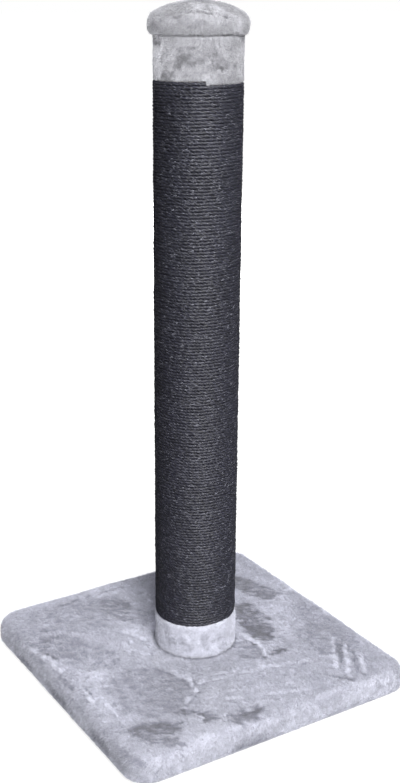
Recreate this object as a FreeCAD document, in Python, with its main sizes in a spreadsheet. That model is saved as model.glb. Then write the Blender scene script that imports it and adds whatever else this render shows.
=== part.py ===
import FreeCAD, Part
import math
import os
import re

import Sketcher

# Cat scratching post: a plush-covered base, a cardboard tube wound with sisal rope, and a padded cap.
# Millimetres, +Z up. The origin lies on the floor under the middle of the base.

# Driving sizes: name, value, what it is.
SIZES = (
    ("board_side", 574, "edge of the two square base boards"),
    ("board_corner_radius", 48, "rounding of the boards' upright corners"),
    ("lower_board_thickness", 22, "board that the feet are screwed to"),
    ("upper_board_thickness", 22, "board that carries the bolt's washer"),
    ("board_edge_round", 14, "rounding along the upper board's top edge"),
    ("base_pile", 8, "plush on the top and sides of the base"),
    ("base_edge_round", 26, "rounding along the top edge of the covered base"),
    ("hem_edge_round", 5, "rounding along the bottom edge of the covered base"),
    ("hem_width", 62, "how far the base cover is turned under the lower board"),
    ("hem_thickness", 2, "plush pressed flat against a board"),
    ("pile_crush", 4, "how far the post presses into the base's pile"),
    ("access_radius", 28, "hole in the lower board that a spanner reaches the bolt through"),
    ("foot_height", 4, "thickness of a rubber foot"),
    ("foot_radius", 17, "radius of a rubber foot"),
    ("foot_chamfer", 0.8, "bevel round the underside of a foot"),
    ("foot_inset", 32, "middle of a foot from the boards' edges"),
    ("tube_length", 1131, "cardboard post tube"),
    ("tube_radius", 70, "outside of the tube"),
    ("tube_wall", 10, "wall of the tube"),
    ("plug_thickness", 25, "discs in the two ends of the tube"),
    ("collar_height", 64, "plush collar above the base"),
    ("collar_pile", 7.2, "plush of the collar"),
    ("sleeve_height", 72, "plush sleeve under the cap"),
    ("sleeve_pile", 5.7, "plush of the sleeve"),
    ("band_edge_round", 2.4, "rounding along the edges of the collar and the sleeve"),
    ("rope_diameter", 5, "sisal rope as it lies on the tube"),
    ("rope_gap", 0.5, "between neighbouring turns of the rope"),
    ("wound_turns", 12, "turns at each end of the winding; plain between"),
    ("rope_end_angle", 248, "where the ends of the rope lie round the post, in degrees from +X"),
    ("cap_board_radius", 77, "disc on the head of the tube"),
    ("cap_board_thickness", 16, "thickness of that disc"),
    ("cap_pile", 8, "plush round the cap"),
    ("cap_crown_height", 38.5, "crown of the cap above its widest line"),
    ("cap_shoulder_radius", 23, "rounding between the cap's widest line and its crown"),
    ("bolt_radius", 5, "post bolt"),
    ("bolt_length", 60, "post bolt under its head"),
    ("bolt_head_width", 17, "across the flats of the bolt's head"),
    ("bolt_head_height", 6.4, "height of the bolt's head"),
    ("washer_radius", 20, "large washer under the bolt's head"),
    ("washer_thickness", 2.5, "thickness of that washer"),
    ("tee_flange_radius", 13, "flange of the tee nut"),
    ("tee_flange_thickness", 2, "thickness of that flange"),
    ("tee_barrel_radius", 6.3, "barrel of the tee nut"),
    ("tee_barrel_length", 13, "barrel under the flange"),
    ("tee_prong_width", 3, "width of one prong of the tee nut"),
    ("tee_prong_thickness", 1.4, "thickness of one prong"),
    ("tee_prong_length", 7, "prong under the flange"),
    ("tee_prongs", 4, "prongs of the tee nut"),
    ("screw_radius", 2, "shank of every wood screw"),
    ("screw_head_radius", 4, "head of every wood screw"),
    ("screw_head_height", 2.2, "countersunk head"),
    ("screw_point_length", 3, "tapered tip"),
    ("board_screw_length", 38, "screws that join the base boards"),
    ("board_screw_circle", 205, "radius that these screws stand on"),
    ("board_screws_count", 8, "screws that join the base boards"),
    ("plug_screw_length", 28, "screws through the tube into a plug"),
    ("plug_screw_sink", 0.6, "how far these screws' heads lie under the tube's surface"),
    ("plug_screws_count", 6, "screws in each plug"),
    ("cap_screw_length", 34, "screws from the top plug into the cap board"),
    ("cap_screw_circle", 36, "radius that these screws stand on"),
    ("cap_screws_count", 4, "screws of the cap"),
    ("foot_screw_length", 16, "screw of a foot"),
    ("foot_screw_sink", 1.2, "how far that screw's head lies above the floor"),
    ("staple_width", 10, "crown of a staple"),
    ("staple_leg", 8, "height of a staple"),
    ("staple_wire", 0.9, "square wire of a staple"),
    ("hem_staple_inset", 40, "staples of the base cover from the boards' edges"),
    ("hem_staples_count", 8, "staples along each side of the base"),
    ("cap_staples_count", 12, "staples round the cap"),
    ("seat_gap", 0.2, "between a rigid piece and its seat"),
    ("thread_gap", 0.1, "between a fastener and its hole"),
    ("soft_gap", 0.3, "between plush, foam or rope and what it lies on"),
    ("cut_overrun", 3, "how far a cut runs past the face that it starts from"),
)

# Places and sizes that follow from the driving ones, in the order that they need each other.
PLACES = (
    ("board_foot", "foot_height + hem_thickness"),
    ("upper_board_foot", "board_foot + lower_board_thickness"),
    ("board_head", "upper_board_foot + upper_board_thickness"),
    ("base_top", "board_head + base_pile"),
    ("base_side", "board_side + 2 * base_pile"),
    ("base_corner_radius", "board_corner_radius + base_pile"),
    ("foot_offset", "board_side / 2 - foot_inset"),
    ("post_foot", "base_top - pile_crush"),
    ("tube_head", "post_foot + tube_length"),
    ("tube_bore_radius", "tube_radius - tube_wall"),
    ("plug_radius", "tube_bore_radius - seat_gap"),
    ("bottom_plug_head", "post_foot + plug_thickness"),
    ("top_plug_foot", "tube_head - plug_thickness"),
    ("bolt_hole_radius", "bolt_radius + seat_gap"),
    ("washer_foot", "upper_board_foot - washer_thickness"),
    ("band_bore_radius", "tube_radius + soft_gap"),
    ("collar_radius", "band_bore_radius + collar_pile"),
    ("sleeve_radius", "band_bore_radius + sleeve_pile"),
    ("cap_hem_foot", "tube_head - cap_pile"),
    ("rope_foot", "base_top + collar_height"),
    ("rope_head", "cap_hem_foot - sleeve_height"),
    ("rope_pitch", "rope_diameter + rope_gap"),
    ("rope_centre_radius", "band_bore_radius + rope_diameter / 2"),
    ("rope_outer_radius", "band_bore_radius + rope_diameter"),
    ("wound_height", "wound_turns * rope_pitch + rope_diameter + 2 * soft_gap"),
    ("cap_board_head", "tube_head + cap_board_thickness"),
    ("cap_rim", "tube_head + cap_board_thickness / 2"),
    ("cap_rim_radius", "cap_board_radius + cap_pile"),
    ("cap_crown", "cap_rim + cap_crown_height"),
    ("foam_crown", "cap_crown - cap_pile"),
    ("shoulder_centre_radius", "cap_rim_radius - cap_shoulder_radius"),
    ("crown_radius", "(shoulder_centre_radius^2 + cap_crown_height^2 - cap_shoulder_radius^2)"
                     " / (2 * (cap_crown_height - cap_shoulder_radius))"),
    ("shoulder_end_radius", "shoulder_centre_radius * crown_radius / (crown_radius - cap_shoulder_radius)"),
    ("shoulder_end", "cap_crown - crown_radius + sqrt(crown_radius^2 - shoulder_end_radius^2)"),
)

FEET = (
    ("rubber_foot_front_left", -1, -1),
    ("rubber_foot_front_right", 1, -1),
    ("rubber_foot_rear_left", -1, 1),
    ("rubber_foot_rear_right", 1, 1),
)

FULL_TURN = 360
QUARTER_TURN = 90
PLUG_SCREW_TURN = 15
SQUARE_SIDES = 4
HEXAGON_SIDES = 6
QUARTERS_PER_TURN = 4
GAP_SAMPLES_PER_TURN = 72
LEAST_ROPE_GAP_SHARE = 0.08
VOLUME_ERROR_SHARE = 0.01
SAME_LENGTH_SHARE = 1e-6

UP = FreeCAD.Vector(0, 0, 1)

doc = FreeCAD.newDocument("ScratchingPost")
sheet = doc.addObject("Spreadsheet::Sheet", "Sizes")
places = doc.addObject("App::VarSet", "Places")
reckoner = doc.addObject("App::VarSet", "Reckoner")
pieces = []


def spelled(formula):
    """A formula of named sizes and places, spelled as a document expression."""
    sizes = {name for name, _, _ in SIZES}
    derived = {name for name, _ in PLACES}

    def owner(match):
        word = match.group()
        if word in sizes:
            return "Sizes." + word
        return "Places." + word if word in derived else word

    return re.sub(r"[a-z_]+", owner, formula)


def bind(thing, path, formula):
    """Tie a property of an object to a formula of named sizes."""
    thing.setExpression(path, spelled(formula))


def amount(formula):
    """The value of a formula of named sizes, worked out by the document itself."""
    bind(reckoner, "answer", formula)
    reckoner.recompute()
    return reckoner.answer


def fill_sheet():
    """Write the driving sizes to the sheet, and bind the places that follow from them."""
    for row, (name, value, note) in enumerate(SIZES, start=1):
        sheet.set(f"A{row}", note)
        sheet.set(f"B{row}", str(value))
        sheet.setAlias(f"B{row}", name)
    doc.recompute()
    for name, formula in PLACES:
        places.addProperty("App::PropertyFloat", name)
        bind(places, name, formula)
    reckoner.addProperty("App::PropertyFloat", "answer")
    doc.recompute()


def origin_part(body, role):
    """A plane or axis of a body's own origin."""
    return next(feature for feature in body.Origin.OriginFeatures if feature.Role == role)


def new_sketch(body, role, label):
    """An empty sketch on one of a body's origin planes."""
    sketch = body.newObject("Sketcher::SketchObject", label)
    sketch.AttachmentSupport = [(origin_part(body, role), "")]
    sketch.MapMode = "FlatFace"
    return sketch


def arc_between(start, end, centre_height=None):
    """The short arc between two points, its centre on the upright axis or at a given height.

    Gives the arc, and which of its ends lies at the start and at the end.
    """
    middle = (start + end) / 2
    along = end - start
    if centre_height is None:
        centre = FreeCAD.Vector(0, middle.y + along.x / along.y * middle.x, 0)
    else:
        centre = FreeCAD.Vector(middle.x + along.y / along.x * (middle.y - centre_height), centre_height, 0)
    forward = (start - centre).cross(end - centre).z > 0
    first, last = (start, end) if forward else (end, start)
    angles = [math.atan2(point.y - centre.y, point.x - centre.x) for point in (first, last)]
    circle = Part.Circle(centre, UP, (start - centre).Length)
    return Part.ArcOfCircle(circle, *angles), ((1, 2) if forward else (2, 1))


def draw_outline(sketch, corners, arcs=None):
    """Draw a closed outline through corners that are pairs of formulas, across and up.

    arcs gives, by the corner that it leaves, the height of an arc's centre, or None for a centre
    on the upright axis.
    """
    arcs = arcs or {}
    count = len(corners)
    points = [FreeCAD.Vector(amount(across), amount(up), 0) for across, up in corners]
    ends = []
    for index, point in enumerate(points):
        following = points[(index + 1) % count]
        if index in arcs:
            height = arcs[index]
            curve, order = arc_between(point, following, None if height is None else amount(height))
        else:
            curve, order = Part.LineSegment(point, following), (1, 2)
        sketch.addGeometry(curve)
        ends.append(order)
    for index in range(count):
        following = (index + 1) % count
        join = Sketcher.Constraint("Coincident", index, ends[index][1], following, ends[following][0])
        sketch.addConstraint(join)
    for index, (across, up) in enumerate(corners):
        hold(sketch, "DistanceX", index, ends[index][0], across)
        hold(sketch, "DistanceY", index, ends[index][0], up)
    for index, height in arcs.items():
        hold(sketch, "DistanceX" if height is None else "DistanceY", index, 3, height or "0")


def hold(sketch, kind, edge, end, formula):
    """Keep one coordinate of a point of a sketch at a formula's value."""
    if formula == "0":
        axis = -2 if kind == "DistanceX" else -1
        sketch.addConstraint(Sketcher.Constraint("PointOnObject", edge, end, axis))
        return
    value = amount(formula)
    number = sketch.addConstraint(Sketcher.Constraint(kind, -1, 1, edge, end, value))
    bind(sketch, f"Constraints[{number}]", formula)


def add_turning(body, sketch):
    """Revolve a sketch about its own upright axis."""
    turning = body.newObject("PartDesign::Revolution", "Turning")
    turning.Profile = sketch
    turning.ReferenceAxis = (sketch, ["V_Axis"])
    turning.Angle = FULL_TURN
    return turning


def add_ring(body, feature, count):
    """Repeat a feature round the body's upright axis."""
    ring = body.newObject("PartDesign::PolarPattern", "Ring")
    ring.Originals = [feature]
    ring.Axis = (origin_part(body, "Z_Axis"), [""])
    ring.Angle = FULL_TURN
    bind(ring, "Occurrences", count)
    body.Tip = ring


def turned(label, corners, arcs=None):
    """A piece turned about the post's axis, from its half outline: radius, height."""
    body = doc.addObject("PartDesign::Body", label)
    sketch = new_sketch(body, "XZ_Plane", "Outline")
    draw_outline(sketch, corners, arcs)
    add_turning(body, sketch)
    doc.recompute()
    return body


def ring_corners(inner, outer, foot, head):
    """Half outline of a plain ring."""
    return [(inner, foot), (outer, foot), (outer, head), (inner, head)]


def rounded(body, feature, edges, radius):
    """Round some edges of a body's last feature."""
    fillet = body.newObject("PartDesign::Fillet", "Rounding")
    fillet.Base = (feature, [f"Edge{number}" for number in edges])
    bind(fillet, "Radius", radius)
    body.Tip = fillet
    doc.recompute()
    return fillet


def edges_where(feature, test):
    """Numbers of a feature's edges that pass a test on their box."""
    return [number for number, edge in enumerate(feature.Shape.Edges, start=1) if test(edge.BoundBox)]


def slab(label, side, corner_radius, foot, height, top_round=None, foot_round=None):
    """A square slab about the post's axis with rounded corners, and rounded rims where asked."""
    body = doc.addObject("PartDesign::Body", label)
    sketch = new_sketch(body, "XY_Plane", "Outline")
    bind(sketch, "AttachmentOffset.Base.z", foot)
    half = amount(side) / 2
    corners = [FreeCAD.Vector(x * half, y * half, 0) for x, y in ((-1, -1), (1, -1), (1, 1), (-1, 1))]
    for index, corner in enumerate(corners):
        sketch.addGeometry(Part.LineSegment(corner, corners[(index + 1) % SQUARE_SIDES]))
    for index in range(SQUARE_SIDES):
        sketch.addConstraint(Sketcher.Constraint("Coincident", index, 2, (index + 1) % SQUARE_SIDES, 1))
        sketch.addConstraint(Sketcher.Constraint("Vertical" if index % 2 else "Horizontal", index))
    sketch.addConstraint(Sketcher.Constraint("Symmetric", 0, 1, 2, 1, -1, 1))
    for index, kind in enumerate(("DistanceX", "DistanceY")):
        number = sketch.addConstraint(Sketcher.Constraint(kind, index, 1, index, 2, 2 * half))
        bind(sketch, f"Constraints[{number}]", side)
    feature = body.newObject("PartDesign::Pad", "Thickness")
    feature.Profile = sketch
    bind(feature, "Length", height)
    doc.recompute()
    small = amount(height) * SAME_LENGTH_SHARE
    feature = rounded(body, feature, edges_where(feature, lambda box: box.ZLength > small), corner_radius)
    if top_round:
        top = feature.Shape.BoundBox.ZMax
        feature = rounded(body, feature, edges_where(feature, lambda box: box.ZMin > top - small), top_round)
    if foot_round:
        low = feature.Shape.BoundBox.ZMin
        feature = rounded(body, feature, edges_where(feature, lambda box: box.ZMax < low + small), foot_round)
    return body


def cylinder(label, radius, foot, height):
    """An upright cylinder about the post's axis."""
    solid = doc.addObject("Part::Cylinder", label)
    bind(solid, "Radius", radius)
    bind(solid, "Height", height)
    bind(solid, "Placement.Base.z", foot)
    return solid


def cut(label, base, *tools):
    """A piece with tools cut out of it, one after another."""
    result = base
    for number, tool in enumerate(tools, start=1):
        remainder = doc.addObject("Part::Cut", f"{label}_cut_{number}")
        remainder.Base = result
        remainder.Tool = tool
        result = remainder
    doc.recompute()
    return result


def keep(label, piece):
    """Name a finished sub-part, which is written to a file of that name."""
    piece.Label = label
    pieces.append(piece)


def screw_ring(label, count, length, across, up, inward=False, gap=None, turn=0):
    """Countersunk screws in a ring round the post, or the holes for them where a gap is given.

    The first screw's head lies at across, up. It points up, or inward to the post's axis.
    """
    body = doc.addObject("PartDesign::Body", label)
    sketch = new_sketch(body, "XZ_Plane", "Screw")
    lead = "cut_overrun" if gap else "0"
    gap = gap or "0"
    if inward:
        sketch.AttachmentOffset = FreeCAD.Placement(FreeCAD.Vector(), FreeCAD.Rotation(UP, QUARTER_TURN))
    bind(sketch, "AttachmentOffset.Base.x", f"{across} + {lead}" if inward else across)
    bind(sketch, "AttachmentOffset.Base.y", up if inward else f"{up} - {lead}")
    head = [("0", "0"), (f"screw_head_radius + {gap}", "0")]
    if lead != "0":
        head.append((f"screw_head_radius + {gap}", lead))
    shank = [
        (f"screw_radius + {gap}", f"{lead} + screw_head_height"),
        (f"screw_radius + {gap}", f"{lead} + {length} - screw_point_length"),
        ("0", f"{lead} + {length} + {gap}"),
    ]
    draw_outline(sketch, head + shank)
    turning = add_turning(body, sketch)
    doc.recompute()
    add_ring(body, turning, count)
    body.Placement.Rotation = FreeCAD.Rotation(UP, turn)
    doc.recompute()
    return body


def screws_and_holes(label, *placing, **turning):
    """A ring of screws as a sub-part, and the holes that other pieces need for them."""
    keep(label, screw_ring(label, *placing, **turning))
    return screw_ring(f"{label}_holes", *placing, gap="thread_gap", **turning)


def staple(body, role, across, crown_foot, offset):
    """One staple flat on an origin plane or offset from it, with its crown along X, across from the axis."""
    sketch = new_sketch(body, role, "Staple")
    bind(sketch, "AttachmentOffset.Base.x", f"{across} - staple_width / 2")
    bind(sketch, "AttachmentOffset.Base.y", crown_foot)
    bind(sketch, "AttachmentOffset.Base.z", f"{offset} - staple_wire / 2")
    far_leg = "staple_width - staple_wire"
    draw_outline(sketch, [
        ("0", "0"), ("staple_width", "0"), ("staple_width", "staple_leg"), (far_leg, "staple_leg"),
        (far_leg, "staple_wire"), ("staple_wire", "staple_wire"), ("staple_wire", "staple_leg"),
        ("0", "staple_leg"),
    ])
    wire = body.newObject("PartDesign::Pad", "Wire")
    wire.Profile = sketch
    bind(wire, "Length", "staple_wire")
    doc.recompute()
    return wire


def make_cover_staples():
    """Rows of staples along the four sides of the base cover's hem, between the feet."""
    body = doc.addObject("PartDesign::Body", "cover_staples")
    half_row = "(foot_offset - foot_radius - staple_width)"
    wire = staple(body, "XZ_Plane", f"-{half_row}", "foot_height - staple_wire",
                  "board_side / 2 - hem_staple_inset")
    rows = body.newObject("PartDesign::MultiTransform", "Rows")
    rows.Originals = [wire]
    along = body.newObject("PartDesign::LinearPattern", "Row")
    along.Direction = (origin_part(body, "X_Axis"), [""])
    bind(along, "Length", f"2 * {half_row}")
    bind(along, "Occurrences", "hem_staples_count")
    around = body.newObject("PartDesign::PolarPattern", "Sides")
    around.Axis = (origin_part(body, "Z_Axis"), [""])
    around.Angle = FULL_TURN
    around.Occurrences = SQUARE_SIDES
    rows.Transformations = [along, around]
    body.Tip = rows
    doc.recompute()
    keep("cover_staples", body)
    return body


def make_cap_staples():
    """A ring of staples through the cap cover's backing, into the edge of the cap board."""
    body = doc.addObject("PartDesign::Body", "cap_staples")
    crown_foot = "-(cap_board_radius + hem_thickness + staple_wire)"
    wire = staple(body, "XY_Plane", "0", crown_foot, "cap_rim")
    add_ring(body, wire, "cap_staples_count")
    doc.recompute()
    keep("cap_staples", body)
    return body


def make_base(bolt_hole):
    """The two boards, their cover, the screws and staples in them, and the feet."""
    staples = make_cover_staples()
    board_holes = screws_and_holes(
        "board_screws", "board_screws_count", "board_screw_length", "board_screw_circle", "board_foot")
    foot_holes = screws_and_holes(
        "foot_screws", f"{SQUARE_SIDES}", "foot_screw_length", "foot_offset * sqrt(2)", "foot_screw_sink",
        turn=QUARTER_TURN / 2)

    lower = slab("lower_board_blank", "board_side", "board_corner_radius", "board_foot",
                 "lower_board_thickness")
    access = cylinder("access_hole", "access_radius", "board_foot - cut_overrun",
                      "lower_board_thickness + 2 * cut_overrun")
    keep("base_lower_board", cut("base_lower_board", lower, access, board_holes, foot_holes, staples))

    upper = slab("upper_board_blank", "board_side", "board_corner_radius", "upper_board_foot",
                 "upper_board_thickness", top_round="board_edge_round")
    keep("base_upper_board", cut("base_upper_board", upper, bolt_hole, board_holes))

    block = slab("cover_blank", "base_side", "base_corner_radius", "foot_height", "base_top - foot_height",
                 top_round="base_edge_round", foot_round="hem_edge_round")
    inside = slab("cover_inside", "board_side + 2 * soft_gap", "board_corner_radius + soft_gap", "board_foot",
                  "board_head - board_foot + soft_gap", top_round="board_edge_round + soft_gap")
    opening = slab("hem_opening", "board_side - 2 * hem_width", "board_corner_radius",
                   "foot_height - cut_overrun", "hem_thickness + 2 * cut_overrun")
    dent = cylinder("post_dent", "collar_radius + soft_gap", "post_foot", "pile_crush + cut_overrun")
    cover = cut("base_plush_cover", block, inside, opening, dent, bolt_hole, foot_holes, staples)
    keep("base_plush_cover", cover)

    for label, x_side, y_side in FEET:
        foot = turned(f"{label}_blank", [
            ("0", "0"), ("foot_radius - foot_chamfer", "0"), ("foot_radius", "foot_chamfer"),
            ("foot_radius", "foot_height"), ("0", "foot_height"),
        ])
        bind(foot, "Placement.Base.x", f"{x_side} * foot_offset")
        bind(foot, "Placement.Base.y", f"{y_side} * foot_offset")
        keep(label, cut(label, foot, foot_holes))


def make_bolt():
    """The bolt that holds the post, its washer, and the hole that lets it through the base."""
    keep("bolt_washer", turned("bolt_washer", ring_corners(
        "bolt_hole_radius", "washer_radius", "washer_foot", "upper_board_foot")))
    head = doc.addObject("Part::Prism", "bolt_head")
    head.Polygon = HEXAGON_SIDES
    bind(head, "Circumradius", "bolt_head_width / sqrt(3)")
    bind(head, "Height", "bolt_head_height")
    bind(head, "Placement.Base.z", "washer_foot - bolt_head_height")
    bolt = doc.addObject("Part::Fuse", "post_bolt")
    bolt.Base = head
    bolt.Tool = cylinder("bolt_shank", "bolt_radius", "washer_foot", "bolt_length")
    keep("post_bolt", bolt)
    return cylinder("bolt_hole", "bolt_hole_radius", "washer_foot", "post_foot - washer_foot + cut_overrun")


def make_tee_nut():
    """The nut in the bottom plug: a flange with prongs, and a barrel for the bolt."""
    bore = "bolt_radius + thread_gap"
    body = turned("bottom_tee_nut", [
        (bore, "bottom_plug_head - tee_barrel_length"),
        ("tee_barrel_radius", "bottom_plug_head - tee_barrel_length"),
        ("tee_barrel_radius", "bottom_plug_head"), ("tee_flange_radius", "bottom_plug_head"),
        ("tee_flange_radius", "bottom_plug_head + tee_flange_thickness"),
        (bore, "bottom_plug_head + tee_flange_thickness"),
    ])
    sketch = new_sketch(body, "XZ_Plane", "Prong")
    bind(sketch, "AttachmentOffset.Base.x", "tee_flange_radius - 2 * tee_prong_thickness")
    bind(sketch, "AttachmentOffset.Base.y", "bottom_plug_head - tee_prong_length")
    prong_head = "tee_prong_length + tee_flange_thickness / 2"
    draw_outline(sketch, [
        ("0", prong_head), ("tee_prong_thickness / 2", "0"), ("tee_prong_thickness", prong_head)])
    prong = body.newObject("PartDesign::Pad", "Prong_width")
    prong.Profile = sketch
    prong.Midplane = True
    bind(prong, "Length", "tee_prong_width")
    doc.recompute()
    add_ring(body, prong, "tee_prongs")
    doc.recompute()
    keep("bottom_tee_nut", body)
    return body


def make_post():
    """The tube, the plugs in its ends and their screws."""
    head_radius = "tube_radius - plug_screw_sink"
    middle_of_bottom = "(post_foot + bottom_plug_head) / 2"
    middle_of_top = "(top_plug_foot + tube_head) / 2"
    bottom_holes = screws_and_holes("bottom_plug_screws", "plug_screws_count", "plug_screw_length",
                                    head_radius, middle_of_bottom, inward=True, turn=PLUG_SCREW_TURN)
    top_holes = screws_and_holes("top_plug_screws", "plug_screws_count", "plug_screw_length",
                                 head_radius, middle_of_top, inward=True, turn=PLUG_SCREW_TURN)
    tube = turned("tube_blank", ring_corners("tube_bore_radius", "tube_radius", "post_foot", "tube_head"))
    keep("post_tube", cut("post_tube", tube, bottom_holes, top_holes))

    nut = make_tee_nut()
    barrel_hole = "tee_barrel_radius + thread_gap"
    barrel_foot = "bottom_plug_head - tee_barrel_length - thread_gap"
    plug = turned("bottom_plug_blank", [
        ("bolt_hole_radius", "post_foot"), ("plug_radius", "post_foot"), ("plug_radius", "bottom_plug_head"),
        (barrel_hole, "bottom_plug_head"), (barrel_hole, barrel_foot), ("bolt_hole_radius", barrel_foot),
    ])
    keep("bottom_plug", cut("bottom_plug", plug, bottom_holes, nut))

    cap_holes = screws_and_holes("cap_screws", "cap_screws_count", "cap_screw_length", "cap_screw_circle",
                                 "top_plug_foot")
    plug = cylinder("top_plug_blank", "plug_radius", "top_plug_foot", "plug_thickness")
    keep("top_plug", cut("top_plug", plug, top_holes, cap_holes))
    return cap_holes


def plush_band(label, radius, foot, head):
    """A plush band glued round the tube, with soft outer edges."""
    body = turned(label, ring_corners("band_bore_radius", radius, foot, head))
    feature = body.Tip
    width = 2 * amount(radius)
    small = width * SAME_LENGTH_SHARE
    rims = edges_where(feature, lambda box: box.XLength > width - small and box.ZLength < small)
    rounded(body, feature, rims, "band_edge_round")
    keep(label, body)


def rope_point(angle, foot):
    """A point on the rope's middle line, and the way it runs there, after turning through an angle."""
    radius = amount_of["rope_centre_radius"]
    climb = amount_of["rope_pitch"] / math.tau
    turned_by = math.radians(amount_of["rope_end_angle"]) + angle
    point = FreeCAD.Vector(radius * math.cos(turned_by), radius * math.sin(turned_by), foot + climb * angle)
    way = FreeCAD.Vector(-radius * math.sin(turned_by), radius * math.cos(turned_by), climb)
    return point, way.normalize()


def biarc(start, start_way, end, end_way):
    """Two arcs that leave one point and reach another in given directions, and meet smoothly."""
    chord = end - start
    ways = start_way + end_way
    spread = 2 * (1 - start_way.dot(end_way))
    lean = chord.dot(ways)
    reach = (math.sqrt(lean * lean + spread * chord.dot(chord)) - lean) / spread
    near, far = start + start_way * reach, end - end_way * reach
    joint = (near + far) / 2
    arcs = []
    for first, knee, last in ((start, near, joint), (joint, far, end)):
        weight = (last - first).Length / 2 / reach
        middle = ((first + last) / 2 + knee * weight) / (1 + weight)
        arcs.append(Part.Arc(first, middle, last).toShape())
    return arcs


def least_gap(foot, turns, diameter):
    """Least gap between the rope's turns, measured on points along its middle line."""
    count = turns * GAP_SAMPLES_PER_TURN
    points = [rope_point(math.tau * step / GAP_SAMPLES_PER_TURN, foot)[0] for step in range(count + 1)]
    apart = GAP_SAMPLES_PER_TURN // 2
    pairs = ((points[i] - points[j]).Length for i in range(count + 1) for j in range(i + apart, count + 1))
    return min(pairs) - diameter


def make_winding(label, foot):
    """One unbroken stretch of rope wound up the tube from a height, with straight ends."""
    diameter = amount_of["rope_diameter"]
    turns = round(amount_of["wound_turns"])
    quarter = math.tau / QUARTERS_PER_TURN
    stops = [rope_point(step * quarter, foot) for step in range(turns * QUARTERS_PER_TURN + 1)]
    first, first_way = stops[0]
    last, last_way = stops[-1]
    tip = first - first_way * diameter
    edges = [Part.LineSegment(tip, first).toShape()]
    for (start, start_way), (end, end_way) in zip(stops, stops[1:]):
        edges.extend(biarc(start, start_way, end, end_way))
    edges.append(Part.LineSegment(last, last + last_way * diameter).toShape())
    path = Part.Wire(edges)
    section = Part.Wire(Part.Circle(tip, first_way, diameter / 2).toShape())
    rope = doc.addObject("Part::Feature", label)
    rope.Shape = path.makePipeShell([section], True, False)
    expected = math.pi * diameter**2 / 4 * path.Length
    gap = least_gap(foot, turns, diameter)
    print(f"{label}: length {path.Length:.0f}, volume over section times length "
          f"{rope.Shape.Volume / expected:.5f}, least gap to itself {gap:.3f} mm")
    if abs(rope.Shape.Volume / expected - 1) > VOLUME_ERROR_SHARE or gap < LEAST_ROPE_GAP_SHARE * diameter:
        raise RuntimeError(f"{label} isn't a sound tube")
    keep(label, rope)


def make_wrapping():
    """Collar, rope and sleeve, from the base up to the cap."""
    plush_band("lower_plush_collar", "collar_radius", "post_foot + soft_gap", "rope_foot")
    clear = amount_of["soft_gap"] + amount_of["rope_diameter"] / 2
    make_winding("rope_lower_turns", amount_of["rope_foot"] + clear)
    keep("rope_middle_turns", turned("rope_middle_turns", ring_corners(
        "band_bore_radius", "rope_outer_radius", "rope_foot + wound_height", "rope_head - wound_height")))
    make_winding("rope_upper_turns", amount_of["rope_head"] - amount_of["wound_height"] + clear)
    plush_band("upper_plush_sleeve", "sleeve_radius", "rope_head", "cap_hem_foot - soft_gap")


def make_cap(cap_holes):
    """Cap board, foam dome and the plush cover that is stapled to the board's edge."""
    staples = make_cap_staples()
    board = cylinder("cap_board_blank", "cap_board_radius", "tube_head", "cap_board_thickness")
    keep("cap_board", cut("cap_board", board, cap_holes, staples))

    keep("cap_foam", turned("cap_foam", [
        ("0", "cap_board_head"), ("cap_board_radius", "cap_board_head"), ("0", "foam_crown"),
    ], arcs={1: None}))

    inner_radius = "cap_board_radius + soft_gap"
    cover = turned("cap_cover_blank", [
        ("band_bore_radius", "cap_hem_foot"), ("cap_rim_radius", "cap_rim"),
        ("shoulder_end_radius", "shoulder_end"), ("0", "cap_crown"), ("0", "foam_crown + soft_gap"),
        (inner_radius, "cap_board_head + soft_gap"), (inner_radius, "tube_head"),
        ("band_bore_radius", "tube_head"),
    ], arcs={0: "cap_rim", 1: "cap_rim", 2: None, 4: None})
    keep("cap_plush_cover", cut("cap_plush_cover", cover, staples))


def check_document():
    """Stop if any object failed, or any sub-part has no sound shape."""
    doc.recompute()
    for thing in doc.Objects:
        if "Invalid" in thing.State or "Error" in thing.State:
            raise RuntimeError(f"{thing.Label} failed: {thing.State}")
    for piece in pieces:
        if piece.Shape.isNull() or not piece.Shape.isValid() or not piece.Shape.Solids:
            raise RuntimeError(f"{piece.Label} has no sound shape")


def write_pieces():
    """Write each sub-part's shape to a file of its own."""
    os.makedirs("parts", exist_ok=True)
    for piece in pieces:
        piece.Shape.exportStep(f"parts/{piece.Label}.step")
        volume = piece.Shape.Volume
        print(f"{piece.Label}: {len(piece.Shape.Solids)} solids, {volume:.0f} cubic mm")


fill_sheet()
amount_of = {name: amount(name) for name, *_ in SIZES + PLACES}
make_base(make_bolt())
cap_screw_holes = make_post()
make_wrapping()
make_cap(cap_screw_holes)
check_document()
write_pieces()
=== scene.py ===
"""Cat scratching post: plush covers, wound sisal rope, finishes, studio light and camera."""

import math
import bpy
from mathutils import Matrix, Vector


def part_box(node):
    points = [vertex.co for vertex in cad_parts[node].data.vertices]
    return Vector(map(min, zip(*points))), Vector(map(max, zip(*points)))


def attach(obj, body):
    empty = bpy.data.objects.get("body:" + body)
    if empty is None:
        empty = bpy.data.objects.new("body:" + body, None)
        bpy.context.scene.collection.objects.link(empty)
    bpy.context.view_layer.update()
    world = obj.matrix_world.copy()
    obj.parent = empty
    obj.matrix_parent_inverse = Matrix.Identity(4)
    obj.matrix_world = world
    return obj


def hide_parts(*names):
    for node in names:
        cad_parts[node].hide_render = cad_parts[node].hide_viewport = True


bl_info = {
    "name": "Cat scratching post",
    "version": (1, 0, 0),
    "blender": (4, 5, 0),
    "location": "View3D > Sidebar > Scratching post",
    "description": "Dresses a cat scratching post in plush and sisal rope, and lights it",
    "category": "Object",
}

import bmesh
import bpy
import numpy as np
from bpy.props import FloatProperty, FloatVectorProperty, IntProperty, PointerProperty
from mathutils import Matrix, Vector, noise
from mathutils.bvhtree import BVHTree

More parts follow.
